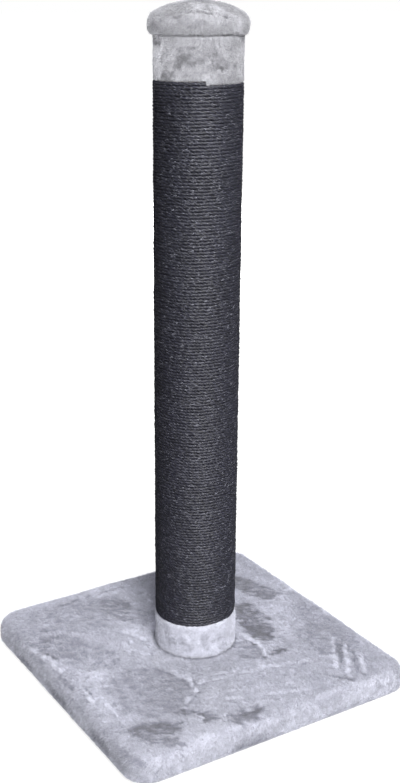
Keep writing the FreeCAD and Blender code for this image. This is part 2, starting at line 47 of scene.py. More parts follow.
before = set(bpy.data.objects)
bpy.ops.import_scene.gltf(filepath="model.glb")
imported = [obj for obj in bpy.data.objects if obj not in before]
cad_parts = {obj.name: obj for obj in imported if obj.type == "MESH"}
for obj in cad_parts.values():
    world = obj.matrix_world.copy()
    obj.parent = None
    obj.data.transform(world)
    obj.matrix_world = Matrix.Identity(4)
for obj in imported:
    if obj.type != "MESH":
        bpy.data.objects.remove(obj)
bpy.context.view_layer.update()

MM = 0.001
TINY = 1e-6
BODY = "root"
BAKE_MAP = "OFBake"

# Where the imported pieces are, in metres.
BASE_LOW, BASE_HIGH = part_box("base_plush_cover")
COLLAR_LOW, COLLAR_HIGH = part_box("lower_plush_collar")
SLEEVE_LOW, SLEEVE_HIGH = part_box("upper_plush_sleeve")
CAP_LOW, CAP_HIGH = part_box("cap_plush_cover")
CAP_BOARD_LOW, CAP_BOARD_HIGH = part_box("cap_board")
LOWER_TURNS_LOW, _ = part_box("rope_lower_turns")
_, UPPER_TURNS_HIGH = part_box("rope_upper_turns")
_, TUBE_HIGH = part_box("post_tube")
BOARD_LOW, BOARD_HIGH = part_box("base_lower_board")
_, UPPER_BOARD_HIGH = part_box("base_upper_board")

# Shapes that the boxes don't tell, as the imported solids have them.
BASE_CORNER = 56 * MM
BASE_EDGE_ROUND = 26 * MM
BASE_HEM_ROUND = 5 * MM
HEM_WIDTH = 62 * MM
BOARD_EDGE_ROUND = 14 * MM
COLLAR_WALL = 7.2 * MM
SLEEVE_WALL = 5.7 * MM
CAP_RIM_HEIGHT = (CAP_BOARD_LOW.z + CAP_BOARD_HIGH.z) / 2
CAP_SHOULDER = 23 * MM
SOFT_GAP = 0.3 * MM
ROPE_END_ANGLE = math.radians(248)

# How the covers are shaped past that: how far they swell, tuck in and leave room for the rope. Then how full
# the padding is, and the share of the base's square of cloth that is left when its corners are cut.
CORNER_FULLNESS = 5 * MM
POST_TUCK = 3 * MM
HEM_REACH = HEM_WIDTH - 10 * MM
HEM_STEP = 0.1 * MM
BAND_EDGE_ROUND = 2.4 * MM
COLLAR_HEAD_TUCK = 2.2 * MM
ROPE_ROOM = 1.5 * MM
SLEEVE_CORNER_DROP = 2.2 * MM
SLEEVE_CORNER_SHARE = 0.018
CROWN_START = 0.02
CAP_HEM_TUCK = 5 * MM
CAP_HEM_LIFT = 1 * MM
CAP_HEM_BULGE = 0.48
FOAM_DEPTH = 5 * MM
FOAM_SHRINK_SHARE = 0.992
FOAM_DROP = 0.4 * MM
FOAM_LIFT = 0.05 * MM
SWELL_MOST = 4 * MM
SWELL_PRESSURE = 4.0

# Steps round the covers, and rings along each stretch of their sections. The base's corners grow full over
# FULLNESS_RINGS, the cap's flat map doubles in CAP_FLAT_RINGS, and the foam's arc stops short of its pole.
SIDE_STEPS, CORNER_STEPS = 150, 22
TOP_RINGS, EDGE_RINGS, SIDE_RINGS, HEM_RINGS, UNDER_RINGS, BOARD_RINGS = 84, 11, 6, 4, 5, 4
BAND_STEPS, BAND_RINGS, BAND_EDGE_RINGS = 288, 18, 5
FULLNESS_RINGS = 16
CROWN_RINGS, SHOULDER_RINGS, RIM_RINGS = 26, 12, 8
CAP_OUTER_RINGS = CROWN_RINGS + SHOULDER_RINGS - 1 + RIM_RINGS
CAP_FLAT_RINGS = 60
FOAM_STEPS, FOAM_RINGS, FOAM_QUARTER_RINGS = 96, 8, 8.3
CLOTH_STEPS, CLOTH_HELD_RINGS, CLOTH_FRAMES = 96, 4, 20

# How the pile lies and shades: locks of fibres, clumps, the share of the skin in each tuft's normal, patches
# and specks. Then the pile and the skin's depth on the bands and the cap, as a share of the base's, and the
# size of a tuft on its map.
LOCK_DEPTH, UPPER_LOCK_DEPTH = 1.0, 0.3
LOCK_TURN = math.radians(32)
LOCK_SCALE = (24.0, 62.0, 45.0)
LOCK_WAVES = 8.0
CLUMP_SCALE = 190.0
TUFT_SPREAD = 0.38
SKIN_SHARE = 0.32
PATCH_SHARE, SPECK_SHARE = 0.35, 0.5
BAND_PILE_SHARE, BAND_DEPTH_SHARE = 0.62, 0.62
CAP_PILE_SHARE, CAP_DEPTH_SHARE = 0.7, 0.55
TUFT_MAP_SIZE = 2 * MM

# The way the base's pile is brushed, in radians, and how upright a normal is where the base counts as level.
# Then how far the pile leans: as brushed on the base's top and sides, in marks, down the sides, up again at
# the floor, and on the bands and the cap. Then where the sides' pile starts, and where it turns down.
BASE_WAY = 2.4
LEVEL_START, LEVEL_RANGE = 0.2, 0.7
TOP_LEAN, SIDE_LEAN, MARK_LEAN, HANG, FLOOR_LIFT, BAND_LEAN = 0.85, 0.5, 0.8, 2.2, 1.2, 0.9
PILE_START, FLOOR_CLEARANCE, FLOOR_FADE = 3 * MM, 4 * MM, 12 * MM

# Noise in the covers, as the height and the size of its bumps: clouds of tone, swelling, and the heading of
# the pile. Each cover's seeds count up from its own first one, two for each kind of noise.
BASE_SEED, COLLAR_SEED, SLEEVE_SEED, CAP_SEED = 5, 21, 31, 41
BASE_CLOUDS = ((0.20, 70 * MM), (0.24, 16 * MM))
BASE_SWELL = ((0.9 * MM, 95 * MM), (0.5 * MM, 22 * MM))
BASE_HEADING = ((1.3, 120 * MM), (0.9, 35 * MM))
BAND_CLOUDS = ((0.30, 24 * MM), (0.22, 11 * MM))
BAND_SWELL = ((0.7 * MM, 26 * MM), (0.35 * MM, 9 * MM))
BAND_HEADING = ((1.4, 30 * MM),)
CAP_CLOUDS = ((0.30, 26 * MM), (0.22, 12 * MM))
CAP_SWELL = ((0.8 * MM, 30 * MM), (0.4 * MM, 10 * MM))
CAP_HEADING = ((1.6, 40 * MM),)

# Tone of the covers' parts, dark below 0 and light above: painted shade on the base's bend, painted shadow
# round the post's and the collar's feet, painted light on the sleeve's head and, with its pale tufts, on the
# cap's hem. Then how far an edge's tone or shape reaches.
TOP_TONE, SIDE_TONE, BEND_PAINTED_SHADE, POST_FOOT_PAINTED_SHADOW = -0.26, -0.28, -0.8, -1.1
COLLAR_TONE, SLEEVE_TONE, CAP_TONE = 0.22, -0.36, -0.32
COLLAR_FOOT_PAINTED_SHADOW, SLEEVE_HEAD_PAINTED_LIGHT, CAP_HEM_PALE_TUFTS_AND_LIGHT = -0.9, 0.6, 0.55
POST_FADE, COLLAR_FOOT_FADE, SLEEVE_HEAD_FADE, CAP_HEM_FADE = 6 * MM, 4 * MM, 6 * MM, 5 * MM
TUCK_FADE, COLLAR_HEAD_FADE, SLEEVE_FOOT_FADE = 9 * MM, 20 * MM, 14 * MM

# The image that the camera is set for, in pixels.
IMAGE_SIZE = (400, 783)
SENSOR_WIDTH_MM = 36

# How marks are brushed into the pile: their strength, how far their edges wander and in which waves, where a
# stroke counts as broad and how soft it is then, and how thin ones shade. Then the streaks and clouds that
# make broad strokes uneven, and the breaks in thin ones, with their sizes, heights and ranges.
BASE_MARKS, BAND_MARKS = 1.5, 0.85
BASE_WANDER, BAND_WANDER, CAP_WANDER = 5.5 * MM, 4 * MM, 3 * MM
EDGE_WAVES = ((1.0, 4.0), (0.4, 1.4))
BROAD_STROKE, BROAD_EDGE = 7.5 * MM, 9 * MM
THIN_SHARE, THIN_EDGE_SHARE, FLANK_SHARE, FLANK_REACH, FLANK_FADE = 0.82, 0.7, 0.55, 3, 1.5
STREAK_WIDTH, STREAK_SQUEEZE, STREAK_REACH, STREAK_HEIGHT = 6 * MM, 0.32, 4, 0.9
CLOUD_SIZE, CLOUD_HEIGHT, CLOUD_MIDDLE, CLOUD_RANGE = 14 * MM, 0.4, 0.9, (0.25, 1.8)
BREAK_SIZE, BREAK_HEIGHT, BREAK_MIDDLE, BREAK_RANGE = 12 * MM, 1.3, 0.75, (0.0, 1.3)

# The marks: pixels of the image for both ends of a stroke, then its half width in millimetres, its tone (dark
# below 0, light above) and how many millimetres it stands up or is pressed down.
BASE_STROKES = (
    ("round imprint", (149, 692), (150, 692), 80, -0.32, -1.2),
    ("imprint rim, far", (158, 666), (189, 680), 4.3, 0.70, 1.2),
    ("imprint rim, right", (189, 680), (196, 692), 4.3, 0.70, 1.2),
    ("imprint rim, near", (196, 692), (179, 714), 4.3, 0.55, 1.0),
    ("imprint rim, left", (104, 700), (118, 716), 5, 0.45, 1.0),
    ("pressed patch at the near corner", (141, 731), (171, 728), 20, -0.95, -1.4),
    ("pressed patch, tail", (150, 741), (176, 742), 12, -0.55, -0.8),
    ("dimple by the imprint", (181, 712), (184, 712), 11, -0.95, -1.4),
    ("dimple right of it", (204, 714), (214, 721), 9, -0.85, -1.2),
    ("pressed patch at the front", (238, 719), (262, 711), 13, -0.85, -1.2),
    ("short mark above it", (252, 708), (260, 705), 3.6, -0.75, -0.8),
    # Darkens a broad patch of the top to the left of the post.
    ("darker patch left of the post", (114, 606), (140, 618), 30, -0.30, -0.6),
    ("ridge under the darker patch", (116, 630), (146, 640), 4.3, 0.65, 1.2),
    ("rough patch right of the post", (243, 609), (262, 633), 27, -0.90, -0.8),
    # Darkens a patch of the top behind the post.
    ("dark patch behind the post", (240, 582), (266, 594), 23, -0.80, -0.6),
    ("ridge from the post, first half", (240, 634), (257, 643), 3.6, 0.95, 1.5),
    ("ridge from the post, second half", (257, 643), (270, 661), 3.6, 0.85, 1.5),
    ("smooth wedge by the post", (243, 644), (252, 654), 22, -0.35, -0.6),
    ("dark marks past the wedge", (267, 657), (281, 650), 7.8, -0.95, -1.0),
    ("long ridge, left half", (199, 683), (252, 671), 3.6, 0.80, 1.4),
    ("long ridge, right half", (252, 671), (314, 660), 3.6, 0.80, 1.4),
    ("second ridge", (206, 676), (264, 667), 2.9, 0.55, 0.9),
    ("furrow between the ridges", (204, 681), (262, 670), 2.9, -0.50, -0.8),
    ("smooth area on the right", (300, 616), (330, 642), 50, -0.30, -0.4),
    ("pale streaks past the rough patch", (280, 603), (296, 626), 14, 0.20, 0.6),
    ("fluffed area behind", (276, 612), (292, 634), 22, 0.20, 0.6),
    ("first claw streak", (333, 640), (337, 668), 3.6, 0.95, 1.4),
    ("second claw streak", (346, 646), (350, 677), 3.6, 0.95, 1.4),
    ("third claw streak", (361, 655), (365, 673), 3.6, 0.85, 1.4),
    ("furrow by the first streak", (340, 643), (343, 672), 4.3, -0.75, -1.2),
    ("furrow by the second streak", (354, 650), (358, 675), 4.3, -0.75, -1.2),
    ("furrow under the streaks", (326, 674), (352, 680), 4.3, -0.65, -1.0),
    ("tufts along the front edge", (318, 697), (390, 672), 5.8, 0.12, 0.8),
    ("wavy ridge, near", (228, 699), (312, 690), 3.6, 0.55, 0.9),
    ("wavy furrow, near", (232, 703), (300, 697), 2.9, -0.55, -0.9),
    ("wavy furrow, left", (214, 694), (241, 688), 2.9, -0.50, -0.9),
    ("fluffed area at the front", (192, 736), (262, 726), 26, 0.16, 0.6),
    ("fluffed area on the left", (92, 668), (113, 716), 20, 0.16, 0.6),
    ("smooth area on the left", (40, 626), (104, 612), 62, -0.30, -0.4),
    ("smooth area at the near left", (56, 646), (96, 660), 42, -0.40, -0.4),
    ("parted pile, first", (33, 650), (45, 660), 4.3, 0.80, 1.3),
    ("parted pile, second", (46, 654), (58, 661), 5, -0.80, -1.2),
    ("parted pile, third", (52, 665), (63, 673), 3.6, 0.85, 1.3),
    ("parted pile, fourth", (60, 677), (73, 690), 4.3, -0.65, -1.0),
    ("parted pile, fifth", (85, 693), (95, 707), 2.9, 0.90, 1.4),
    ("parted pile, sixth", (87, 689), (93, 699), 3.6, -0.85, -1.2),
    ("shade along the far left edge", (60, 606), (122, 588), 5.8, -0.60, -0.6),
    ("blotch on the left side, first", (22, 660), (30, 668), 12, -0.50, -0.5),
    ("blotch on the left side, second", (55, 694), (66, 706), 12, -0.55, -0.6),
    ("blotch on the left side, third", (96, 737), (106, 748), 14, -0.50, -0.6),
    ("pale stretch of the left side", (76, 714), (88, 727), 12, 0.40, 0.4),
    ("blotch at the near corner", (128, 757), (138, 764), 12, -0.45, -0.5),
    ("blotch on the front side, left", (243, 744), (262, 738), 10, -0.36, -0.4),
    ("blotch on the front side, right", (344, 708), (356, 702), 7.8, -0.45, -0.6),
    ("pale right end of the front side", (350, 702), (390, 686), 24, 0.42, 0.3),
    ("pale stretch of the front side", (180, 768), (226, 752), 14, 0.25, 0.5),
    ("second pale stretch of the front side", (288, 728), (322, 715), 14, 0.25, 0.5),
)
COLLAR_STROKES = (
    ("left blotch", (168, 632), (170, 641), 9, -0.85, -0.6),
    ("blotch left of the middle", (180, 640), (187, 648), 9, -0.80, -0.6),
    ("middle blotch", (204, 636), (206, 648), 7, -0.60, -0.5),
    ("right blotch", (222, 638), (224, 650), 8, -0.70, -0.5),
    ("pale tuft left of the middle", (186, 637), (187, 639), 6, 0.60, 0.8),
    ("pale tuft right of the middle", (214, 646), (216, 653), 6, 0.50, 0.6),
)
SLEEVE_STROKES = (
    ("large blotch", (177, 62), (184, 60), 11, -0.80, -0.7),
    ("blotch under the seam, left", (155, 44), (159, 43), 7, -0.80, -0.5),
    ("blotch above the rope, left", (164, 76), (173, 77), 7, -0.85, -0.6),
    # Painted light: the sleeve's left edge is made paler where it turns away from the lamps.
    ("pale patch on the left", (156, 52), (157, 74), 14, 0.80, 0.5),
    ("pale tuft by the rope's end", (204, 78), (207, 79), 5, 0.30, 0.8),
    ("furrow on the right, left half", (213, 63), (222, 69), 4, -0.55, -0.5),
    ("furrow on the right, right half", (222, 69), (237, 64), 4, -0.60, -0.5),
    ("shade in the middle", (186, 54), (222, 62), 14, -0.35, -0.3),
    ("fold under the cap", (190, 47), (231, 49), 3, -0.45, -0.5),
    # Painted light on the sleeve's right edge.
    ("pale patch on the right", (240, 46), (240, 74), 9, 0.60, 0.4),
)
CAP_STROKES = (
    ("crease, left part", (186, 12), (199, 12), 3, -0.85, -1.4),
    ("crease, right part", (199, 12), (226, 17), 3, -0.95, -1.6),
    ("roll above the crease", (190, 8), (222, 12), 6, 0.55, 0.8),
    ("shade on the left of the rim", (153, 26), (160, 25), 8, -0.45, -0.5),
    ("shade on the crown", (168, 13), (178, 15), 9, -0.45, -0.5),
    ("small dent on the crown", (204, 8), (207, 9), 5, -0.60, -0.8),
    ("pale patch on the right of the rim", (230, 18), (239, 26), 10, 0.45, 0.4),
    # Painted highlight on the right of the crown, above the crease.
    ("pale patch on the crown", (194, 5), (218, 8), 10.5, 0.90, 0.5),
    ("shade on the front of the rim", (186, 22), (202, 24), 9, -0.35, -0.2),
    ("first pale tuft on the hem", (174, 33), (176, 33), 2, 0.90, 0.6),
    ("second pale tuft on the hem", (186, 34), (188, 34), 2, 0.90, 0.6),
    ("third pale tuft on the hem", (198, 33), (201, 33), 2, 0.90, 0.6),
    ("shade on the hem", (222, 34), (238, 33), 2.5, -0.60, -0.4),
)

# The rope: sides of its section, how full it is for its diameter, how deep the valleys between its strands
# are, how its twist drifts, how it wanders, and how far its turns part at the gap.
ROPE_SIDES = 9
ROPE_FULLNESS = 1.42
VALLEY_SHARE = 0.20
TWIST_WAVES, TWIST_DRIFT = 9.0, 12.0
BROAD_WANDER_SCALE, FINE_WANDER_SCALE, FINE_WANDER_SHARE = 38.0, 130.0, 1.3
GAP_SHARE = 0.42

# The rope's map: slack where a turn starts, and how wide its two ends are drawn.
TURN_SLACK, END_MAP_SIZE = 1e-4, 0.002

# The surface that stray fibres lie on: steps round it, and how far it stays from the collar and the sleeve.
GUIDE_STEPS = 96
COLLAR_MARGIN, SLEEVE_MARGIN = 3 * MM, 6 * MM

# Where the rope's turns part, and the loop of fibre pulled out of it: pixels, and how many millimetres it
# stands off.
ROPE_GAP_PIXEL = (222, 573)
PULLED_FIBRE = (((220, 562), 0.2), ((225, 565), 2.5), ((228, 574), 3.5), ((226, 584), 3.0), ((222, 588), 1.5),
                ((219, 587), 0.2))
PULLED_FIBRE_RADIUS = 0.22 * MM

# The softboxes in metres, seen from the camera's side: place to the right, to the back and up, and size. Then
# the heights that they face, the narrow beam on the sleeve, and how far the floor reaches.
KEY_BOX = (1.5, -5.3, 4.0), 3.0
TOP_BOX = (0, -0.8, 4.6), 3.0
SLEEVE_BOX = (-1.0, -0.35, 1.24), 0.08
BACK_BOX = (0, 5.5, 1.8), 1.2
FACED_HEIGHT = 0.55
FACED_SLEEVE_HEIGHT = SLEEVE_LOW.z + 50 * MM
SLEEVE_BEAM = math.radians(7)
FLOOR_REACH = 60


class PlushSettings(bpy.types.PropertyGroup):
    """Sizes and colours of the plush."""

    light_colour: FloatVectorProperty(
        name="Light nap", description="Pile that leans away", subtype="COLOR", default=(0.79, 0.80, 0.90))
    shade_colour: FloatVectorProperty(
        name="Dark nap", description="Pile that is pressed or parted", subtype="COLOR",
        default=(0.34, 0.345, 0.41))
    upper_light_colour: FloatVectorProperty(
        name="Light nap, top", description="Light nap of the sleeve and the cap", subtype="COLOR",
        default=(0.74, 0.74, 0.79))
    upper_shade_colour: FloatVectorProperty(
        name="Dark nap, top", description="Dark nap of the sleeve and the cap", subtype="COLOR",
        default=(0.24, 0.24, 0.26))
    sheen: FloatProperty(
        name="Sheen", description="Light that the pile scatters at its edges", default=0.6, subtype="FACTOR")
    upper_sheen: FloatProperty(
        name="Sheen, top", description="Sheen of the sleeve and the cap", default=0.8, subtype="FACTOR")
    pile_length: FloatProperty(
        name="Pile length", description="Length of a fibre tuft", default=4.6 * MM, unit="LENGTH")
    pile_width: FloatProperty(
        name="Tuft width", description="Width of a fibre tuft at its root", default=0.55 * MM, unit="LENGTH")
    pile_density: FloatProperty(
        name="Density", description="Tufts on a square metre", default=1.45e6)
    skin_depth: FloatProperty(
        name="Skin depth", description="How far the backing lies under the tips of the pile", unit="LENGTH",
        default=3.4 * MM)
    seed: IntProperty(name="Seed", description="Start of every random draw in the pile", default=11)


class RopeSettings(bpy.types.PropertyGroup):
    """Sizes and colours of the sisal rope."""

    colour: FloatVectorProperty(
        name="Dyed fibre", description="Main colour of the rope", subtype="COLOR",
        default=(0.0165, 0.0165, 0.028))
    pale_colour: FloatVectorProperty(
        name="Pale fibre", description="Fibres that took less dye", subtype="COLOR",
        default=(0.26, 0.265, 0.31))
    diameter: FloatProperty(
        name="Diameter", description="Rope as it lies on the tube", default=5.0 * MM, unit="LENGTH")
    pitch: FloatProperty(
        name="Pitch", description="From one turn to the next", default=5.5 * MM, unit="LENGTH")
    lay_length: FloatProperty(
        name="Lay", description="Length in which a strand goes once round the rope", unit="LENGTH",
        default=24 * MM)
    end_turns: IntProperty(
        name="End turns", description="Turns in the lower and the upper stretch", default=12)
    middle_stretches: IntProperty(
        name="Stretches", description="Pieces of the long middle stretch", default=4)
    rings: IntProperty(name="Rings", description="Sections along one turn", default=200)
    stray_fibres: IntProperty(
        name="Stray fibres", description="Fibres that stand out of the rope", default=12000)
    seed: IntProperty(name="Seed", description="Start of every random draw in the rope", default=5)


class StageSettings(bpy.types.PropertyGroup):
    """Camera and light."""

    camera_turn: FloatProperty(
        name="Turn", description="Camera's place round the post, from the front to the left",
        default=math.radians(31.975), subtype="ANGLE")
    camera_distance: FloatProperty(
        name="Distance", description="Camera from the post's axis", default=2.0325, unit="LENGTH")
    camera_height: FloatProperty(
        name="Height", description="Camera above the floor", default=1.2450, unit="LENGTH")
    camera_pitch: FloatProperty(
        name="Pitch", description="How far the camera looks down", subtype="ANGLE",
        default=math.radians(18.657))
    camera_roll: FloatProperty(
        name="Roll", description="Camera's lean", default=math.radians(-0.401), subtype="ANGLE")
    camera_aim: FloatProperty(
        name="Aim", description="How far the camera looks past the axis to the right",
        default=math.radians(0.179), subtype="ANGLE")
    focal_pixels: FloatProperty(
        name="Focal length", description="Focal length in pixels of the image", default=1189.1)
    key_power: FloatProperty(name="Key", description="Softbox at the front right", default=780, unit="POWER")
    top_power: FloatProperty(name="Top", description="Softbox over the post", default=50, unit="POWER")
    sleeve_power: FloatProperty(
        name="Sleeve", description="Small softbox on the left of the sleeve", default=0.028, unit="POWER")
    back_power: FloatProperty(name="Back", description="Softbox behind the post", default=520, unit="POWER")
    sky: FloatProperty(name="Sky", description="Even light from all round", default=0.06)
    floor_colour: FloatVectorProperty(
        name="Floor", description="Colour of the floor", subtype="COLOR", default=(0.22, 0.22, 0.22))


def settings():
    """The three groups of settings in use."""
    scene = bpy.context.scene
    return scene.post_plush, scene.post_rope, scene.post_stage


# Node trees

def set_sockets(tree, node, sockets):
    """Set a node's inputs to values, or link them to other nodes' outputs."""
    for key, value in sockets.items():
        if isinstance(value, bpy.types.NodeSocket):
            tree.links.new(value, node.inputs[key])
        else:
            node.inputs[key].default_value = value


def add_node(tree, kind, sockets=None, **options):
    """A node with its options and its sockets."""
    node = tree.nodes.new(kind)
    for name, value in options.items():
        setattr(node, name, value)
    set_sockets(tree, node, sockets or {})
    return node


def calculate(tree, operation, *values):
    """Output of a maths node."""
    return add_node(tree, "ShaderNodeMath", dict(enumerate(values)), operation=operation).outputs[0]


def calculate_vector(tree, operation, *values):
    """Output of a vector maths node."""
    keys = [0, 1, 2][:len(values)]
    if operation == "SCALE":
        keys = [0, "Scale"]
    node = add_node(tree, "ShaderNodeVectorMath", dict(zip(keys, values)), operation=operation)
    return node.outputs["Value" if operation in ("DOT_PRODUCT", "LENGTH") else "Vector"]


def blend_colours(tree, factor, first, second, way="MIX"):
    """Output of a colour mix."""
    node = add_node(tree, "ShaderNodeMix", {0: factor, 6: first, 7: second}, data_type="RGBA", blend_type=way)
    return node.outputs[2]


def spread(tree, value, low, high, to_low=0.0, to_high=1.0):
    """A value taken from one range to another, without leaving it."""
    sockets = {"Value": value, "From Min": low, "From Max": high, "To Min": to_low, "To Max": to_high}
    return add_node(tree, "ShaderNodeMapRange", sockets).outputs["Result"]


def opaque(colour):
    return (*colour, 1.0)


def times(colour, factor):
    return opaque([part * factor for part in colour])


def own_place(tree):
    """A piece's own coordinates."""
    return add_node(tree, "ShaderNodeTexCoord").outputs["Object"]


def camera_ray(tree):
    """1 where the camera looks straight at a surface, and 0 for other rays."""
    return add_node(tree, "ShaderNodeLightPath").outputs["Is Camera Ray"]


def join_parts(tree, **parts):
    """A vector from its parts x, y and z. Those left out are 0."""
    sockets = {name.upper(): part for name, part in parts.items()}
    return add_node(tree, "ShaderNodeCombineXYZ", sockets).outputs[0]


def split_parts(tree, vector):
    """The outputs X, Y and Z of a vector."""
    return add_node(tree, "ShaderNodeSeparateXYZ", {0: vector}).outputs


def new_material(name):
    """An empty material, its tree and its surface shader."""
    material = bpy.data.materials.new(name)
    material.use_nodes = True
    tree = material.node_tree
    return material, tree, tree.nodes["Principled BSDF"]


def new_group(name, kind, inputs, outputs):
    """A node group with named sockets, given as name, socket kind and default."""
    tree = bpy.data.node_groups.new(name, kind)
    for label, socket_kind, default in inputs:
        socket = tree.interface.new_socket(label, in_out="INPUT", socket_type=socket_kind)
        if default is not None:
            socket.default_value = default
    for label, socket_kind in outputs:
        tree.interface.new_socket(label, in_out="OUTPUT", socket_type=socket_kind)
    return tree, tree.nodes.new("NodeGroupInput"), tree.nodes.new("NodeGroupOutput")


def mottle_group():
    """Shader group: soft patches in two sizes, and fine specks, over a piece's own coordinates."""
    if "Mottle" in bpy.data.node_groups:
        return bpy.data.node_groups["Mottle"]
    tree, start, end = new_group(
        "Mottle", "ShaderNodeTree",
        [("Patch Scale", "NodeSocketFloat", 30.0), ("Speck Scale", "NodeSocketFloat", 400.0)],
        [("Patches", "NodeSocketFloat"), ("Specks", "NodeSocketFloat")])
    place = own_place(tree)
    for size, output, detail, roughness in (("Patch Scale", "Patches", 3.0, 0.6),
                                            ("Speck Scale", "Specks", 2.0, 0.7)):
        waves = add_node(tree, "ShaderNodeTexNoise", {
            "Vector": place, "Scale": start.outputs[size], "Detail": detail, "Roughness": roughness})
        tree.links.new(waves.outputs["Fac"], end.inputs[output])
    return tree


def mottled(tree, patch_scale, speck_scale):
    """The mottle group in a material: its patches and its specks."""
    node = add_node(tree, "ShaderNodeGroup", node_tree=mottle_group())
    set_sockets(tree, node, {"Patch Scale": patch_scale, "Speck Scale": speck_scale})
    return node.outputs["Patches"], node.outputs["Specks"]


def attribute(tree, name, output="Fac"):
    return add_node(tree, "ShaderNodeAttribute", attribute_name=name).outputs[output]


def bump(tree, height, distance, strength=0.5):
    """A normal from a height over the surface."""
    sockets = {"Height": height, "Distance": distance, "Strength": strength}
    return add_node(tree, "ShaderNodeBump", sockets).outputs["Normal"]


# Materials

def plush_colour(tree, shade, light, locks=0.0):
    """Colour of the plush from its nap tone, which also holds painted light and shade at some edges, with
    soft patches, fine specks and, on the pile, its locks.
    """
    patches, specks = mottled(tree, 45.0, 230.0)
    stored = attribute(tree, "nap")
    nap = spread(tree, stored, -1.0, 1.0)
    soft = calculate(tree, "MULTIPLY_ADD", patches, PATCH_SHARE, -PATCH_SHARE / 2)
    fine = calculate(tree, "MULTIPLY_ADD", specks, SPECK_SHARE, -SPECK_SHARE / 2)
    tone = calculate(tree, "ADD", calculate(tree, "ADD", nap, soft), fine)
    lock = calculate(tree, "SUBTRACT", attribute(tree, "lock"), 0.5)
    tone = calculate(tree, "MULTIPLY_ADD", lock, spread(tree, patches, 0.38, 0.62, 0.25 * locks, locks), tone)
    colour = blend_colours(tree, spread(tree, tone, 0.0, 1.0), opaque(shade), opaque(light))
    pressed = spread(tree, calculate(tree, "ADD", stored, fine), -1.9, -0.75, 0.60, 1.0)
    return blend_colours(tree, 1.0, colour, pressed, way="MULTIPLY"), specks


def plush_backing(name, shade, light, sheen):
    """The cloth that the pile grows from."""
    material, tree, shader = new_material(name)
    colour, specks = plush_colour(tree, shade, light)
    set_sockets(tree, shader, {
        "Base Color": colour, "Roughness": 0.95, "Specular IOR Level": 0.1, "Sheen Weight": sheen,
        "Sheen Roughness": 0.5, "Normal": bump(tree, specks, 2.0 * MM)})
    return material


def plush_pile(name, shade, light, sheen, locks):
    """The pile: with painted shade towards the roots, a soft sheen, and lit partly as its skin is."""
    material, tree, shader = new_material(name)
    colour, _ = plush_colour(tree, shade, light, locks)
    # Painted shade: each tuft darkens towards its root.
    root = spread(tree, attribute(tree, "tip"), 0.0, 0.8, 0.62, 1.0)
    single = spread(tree, attribute(tree, "tuft"), 0.0, 1.0, 0.91, 1.08)
    depth = calculate(tree, "MULTIPLY", root, single)
    own = add_node(tree, "ShaderNodeNewGeometry").outputs["Normal"]
    sockets = {0: SKIN_SHARE, 4: own, 5: attribute(tree, "skin_normal", "Vector")}
    mixed = add_node(tree, "ShaderNodeMix", sockets, data_type="VECTOR").outputs[1]
    set_sockets(tree, shader, {
        "Base Color": blend_colours(tree, 1.0, colour, depth, way="MULTIPLY"), "Roughness": 0.85,
        "Specular IOR Level": 0.15, "Sheen Weight": sheen, "Sheen Roughness": 0.45,
        "Normal": calculate_vector(tree, "NORMALIZE", mixed)})
    return material


def plush_materials(upper=False):
    """Backing and pile for the base and the collar, or for the sleeve and the cap."""
    plush, _, _ = settings()
    place = "Upper plush" if upper else "Plush"
    if f"{place} pile" in bpy.data.materials:
        return bpy.data.materials[f"{place} backing"], bpy.data.materials[f"{place} pile"]
    finish, locks = (plush.shade_colour, plush.light_colour, plush.sheen), LOCK_DEPTH
    if upper:
        finish = plush.upper_shade_colour, plush.upper_light_colour, plush.upper_sheen
        locks = UPPER_LOCK_DEPTH
    return plush_backing(f"{place} backing", *finish), plush_pile(f"{place} pile", *finish, locks)


def sisal(rope):
    """Dyed sisal: fibres along the strands, some of them pale, painted shade between strands with painted
    light on their crests, and dusty patches.
    """
    material, tree, shader = new_material("Dyed sisal")
    section = attribute(tree, "rope_section", "Vector")
    along = attribute(tree, "rope_along")
    round_place = calculate_vector(tree, "SCALE", section, 2.4)

    def streaks(per_metre):
        run = join_parts(tree, z=calculate(tree, "MULTIPLY", along, per_metre))
        place = calculate_vector(tree, "ADD", round_place, run)
        return add_node(tree, "ShaderNodeTexNoise", {
            "Vector": place, "Scale": 1.0, "Detail": 3.0, "Roughness": 0.7}).outputs["Fac"]

    fibres, flecks = streaks(75.0), streaks(210.0)
    side = split_parts(tree, section)["X"]
    cube = calculate(tree, "MULTIPLY", calculate(tree, "POWER", side, 3.0), 4.0)
    # Painted shade in the valleys between the strands, and painted light on their crests.
    strand = spread(tree, calculate(tree, "MULTIPLY_ADD", side, -3.0, cube), -0.8, 0.8, 0.28, 1.2)
    patches, specks = mottled(tree, 22.0, 900.0)
    colour = blend_colours(tree, spread(tree, fibres, 0.32, 0.70), times(rope.colour, 0.45),
                           times(rope.colour, 1.55))
    dust = spread(tree, patches, 0.40, 0.75, 0.0, 0.35)
    colour = blend_colours(tree, dust, colour, times(rope.colour, 1.8))
    colour = blend_colours(tree, 1.0, colour, strand, way="MULTIPLY")
    pale = calculate(tree, "MULTIPLY", spread(tree, flecks, 0.56, 0.64), spread(tree, specks, 0.47, 0.58))
    pale = calculate(tree, "MULTIPLY", pale, 0.8)
    set_sockets(tree, shader, {
        "Base Color": blend_colours(tree, pale, colour, opaque(rope.pale_colour)),
        "Roughness": spread(tree, fibres, 0.3, 0.7, 0.60, 0.47), "Specular IOR Level": 0.5,
        "Normal": bump(tree, fibres, 0.8 * MM, 0.8)})
    return material


def loose_sisal(rope):
    """Stray fibres, from charcoal to pale."""
    material, tree, shader = new_material("Loose sisal")
    patches, specks = mottled(tree, 160.0, 700.0)
    colour = blend_colours(tree, spread(tree, patches, 0.42, 0.66), times(rope.colour, 1.5),
                           times(rope.pale_colour, 1.9))
    set_sockets(tree, shader, {
        "Base Color": colour, "Roughness": spread(tree, specks, 0.3, 0.7, 0.5, 0.75)})
    return material


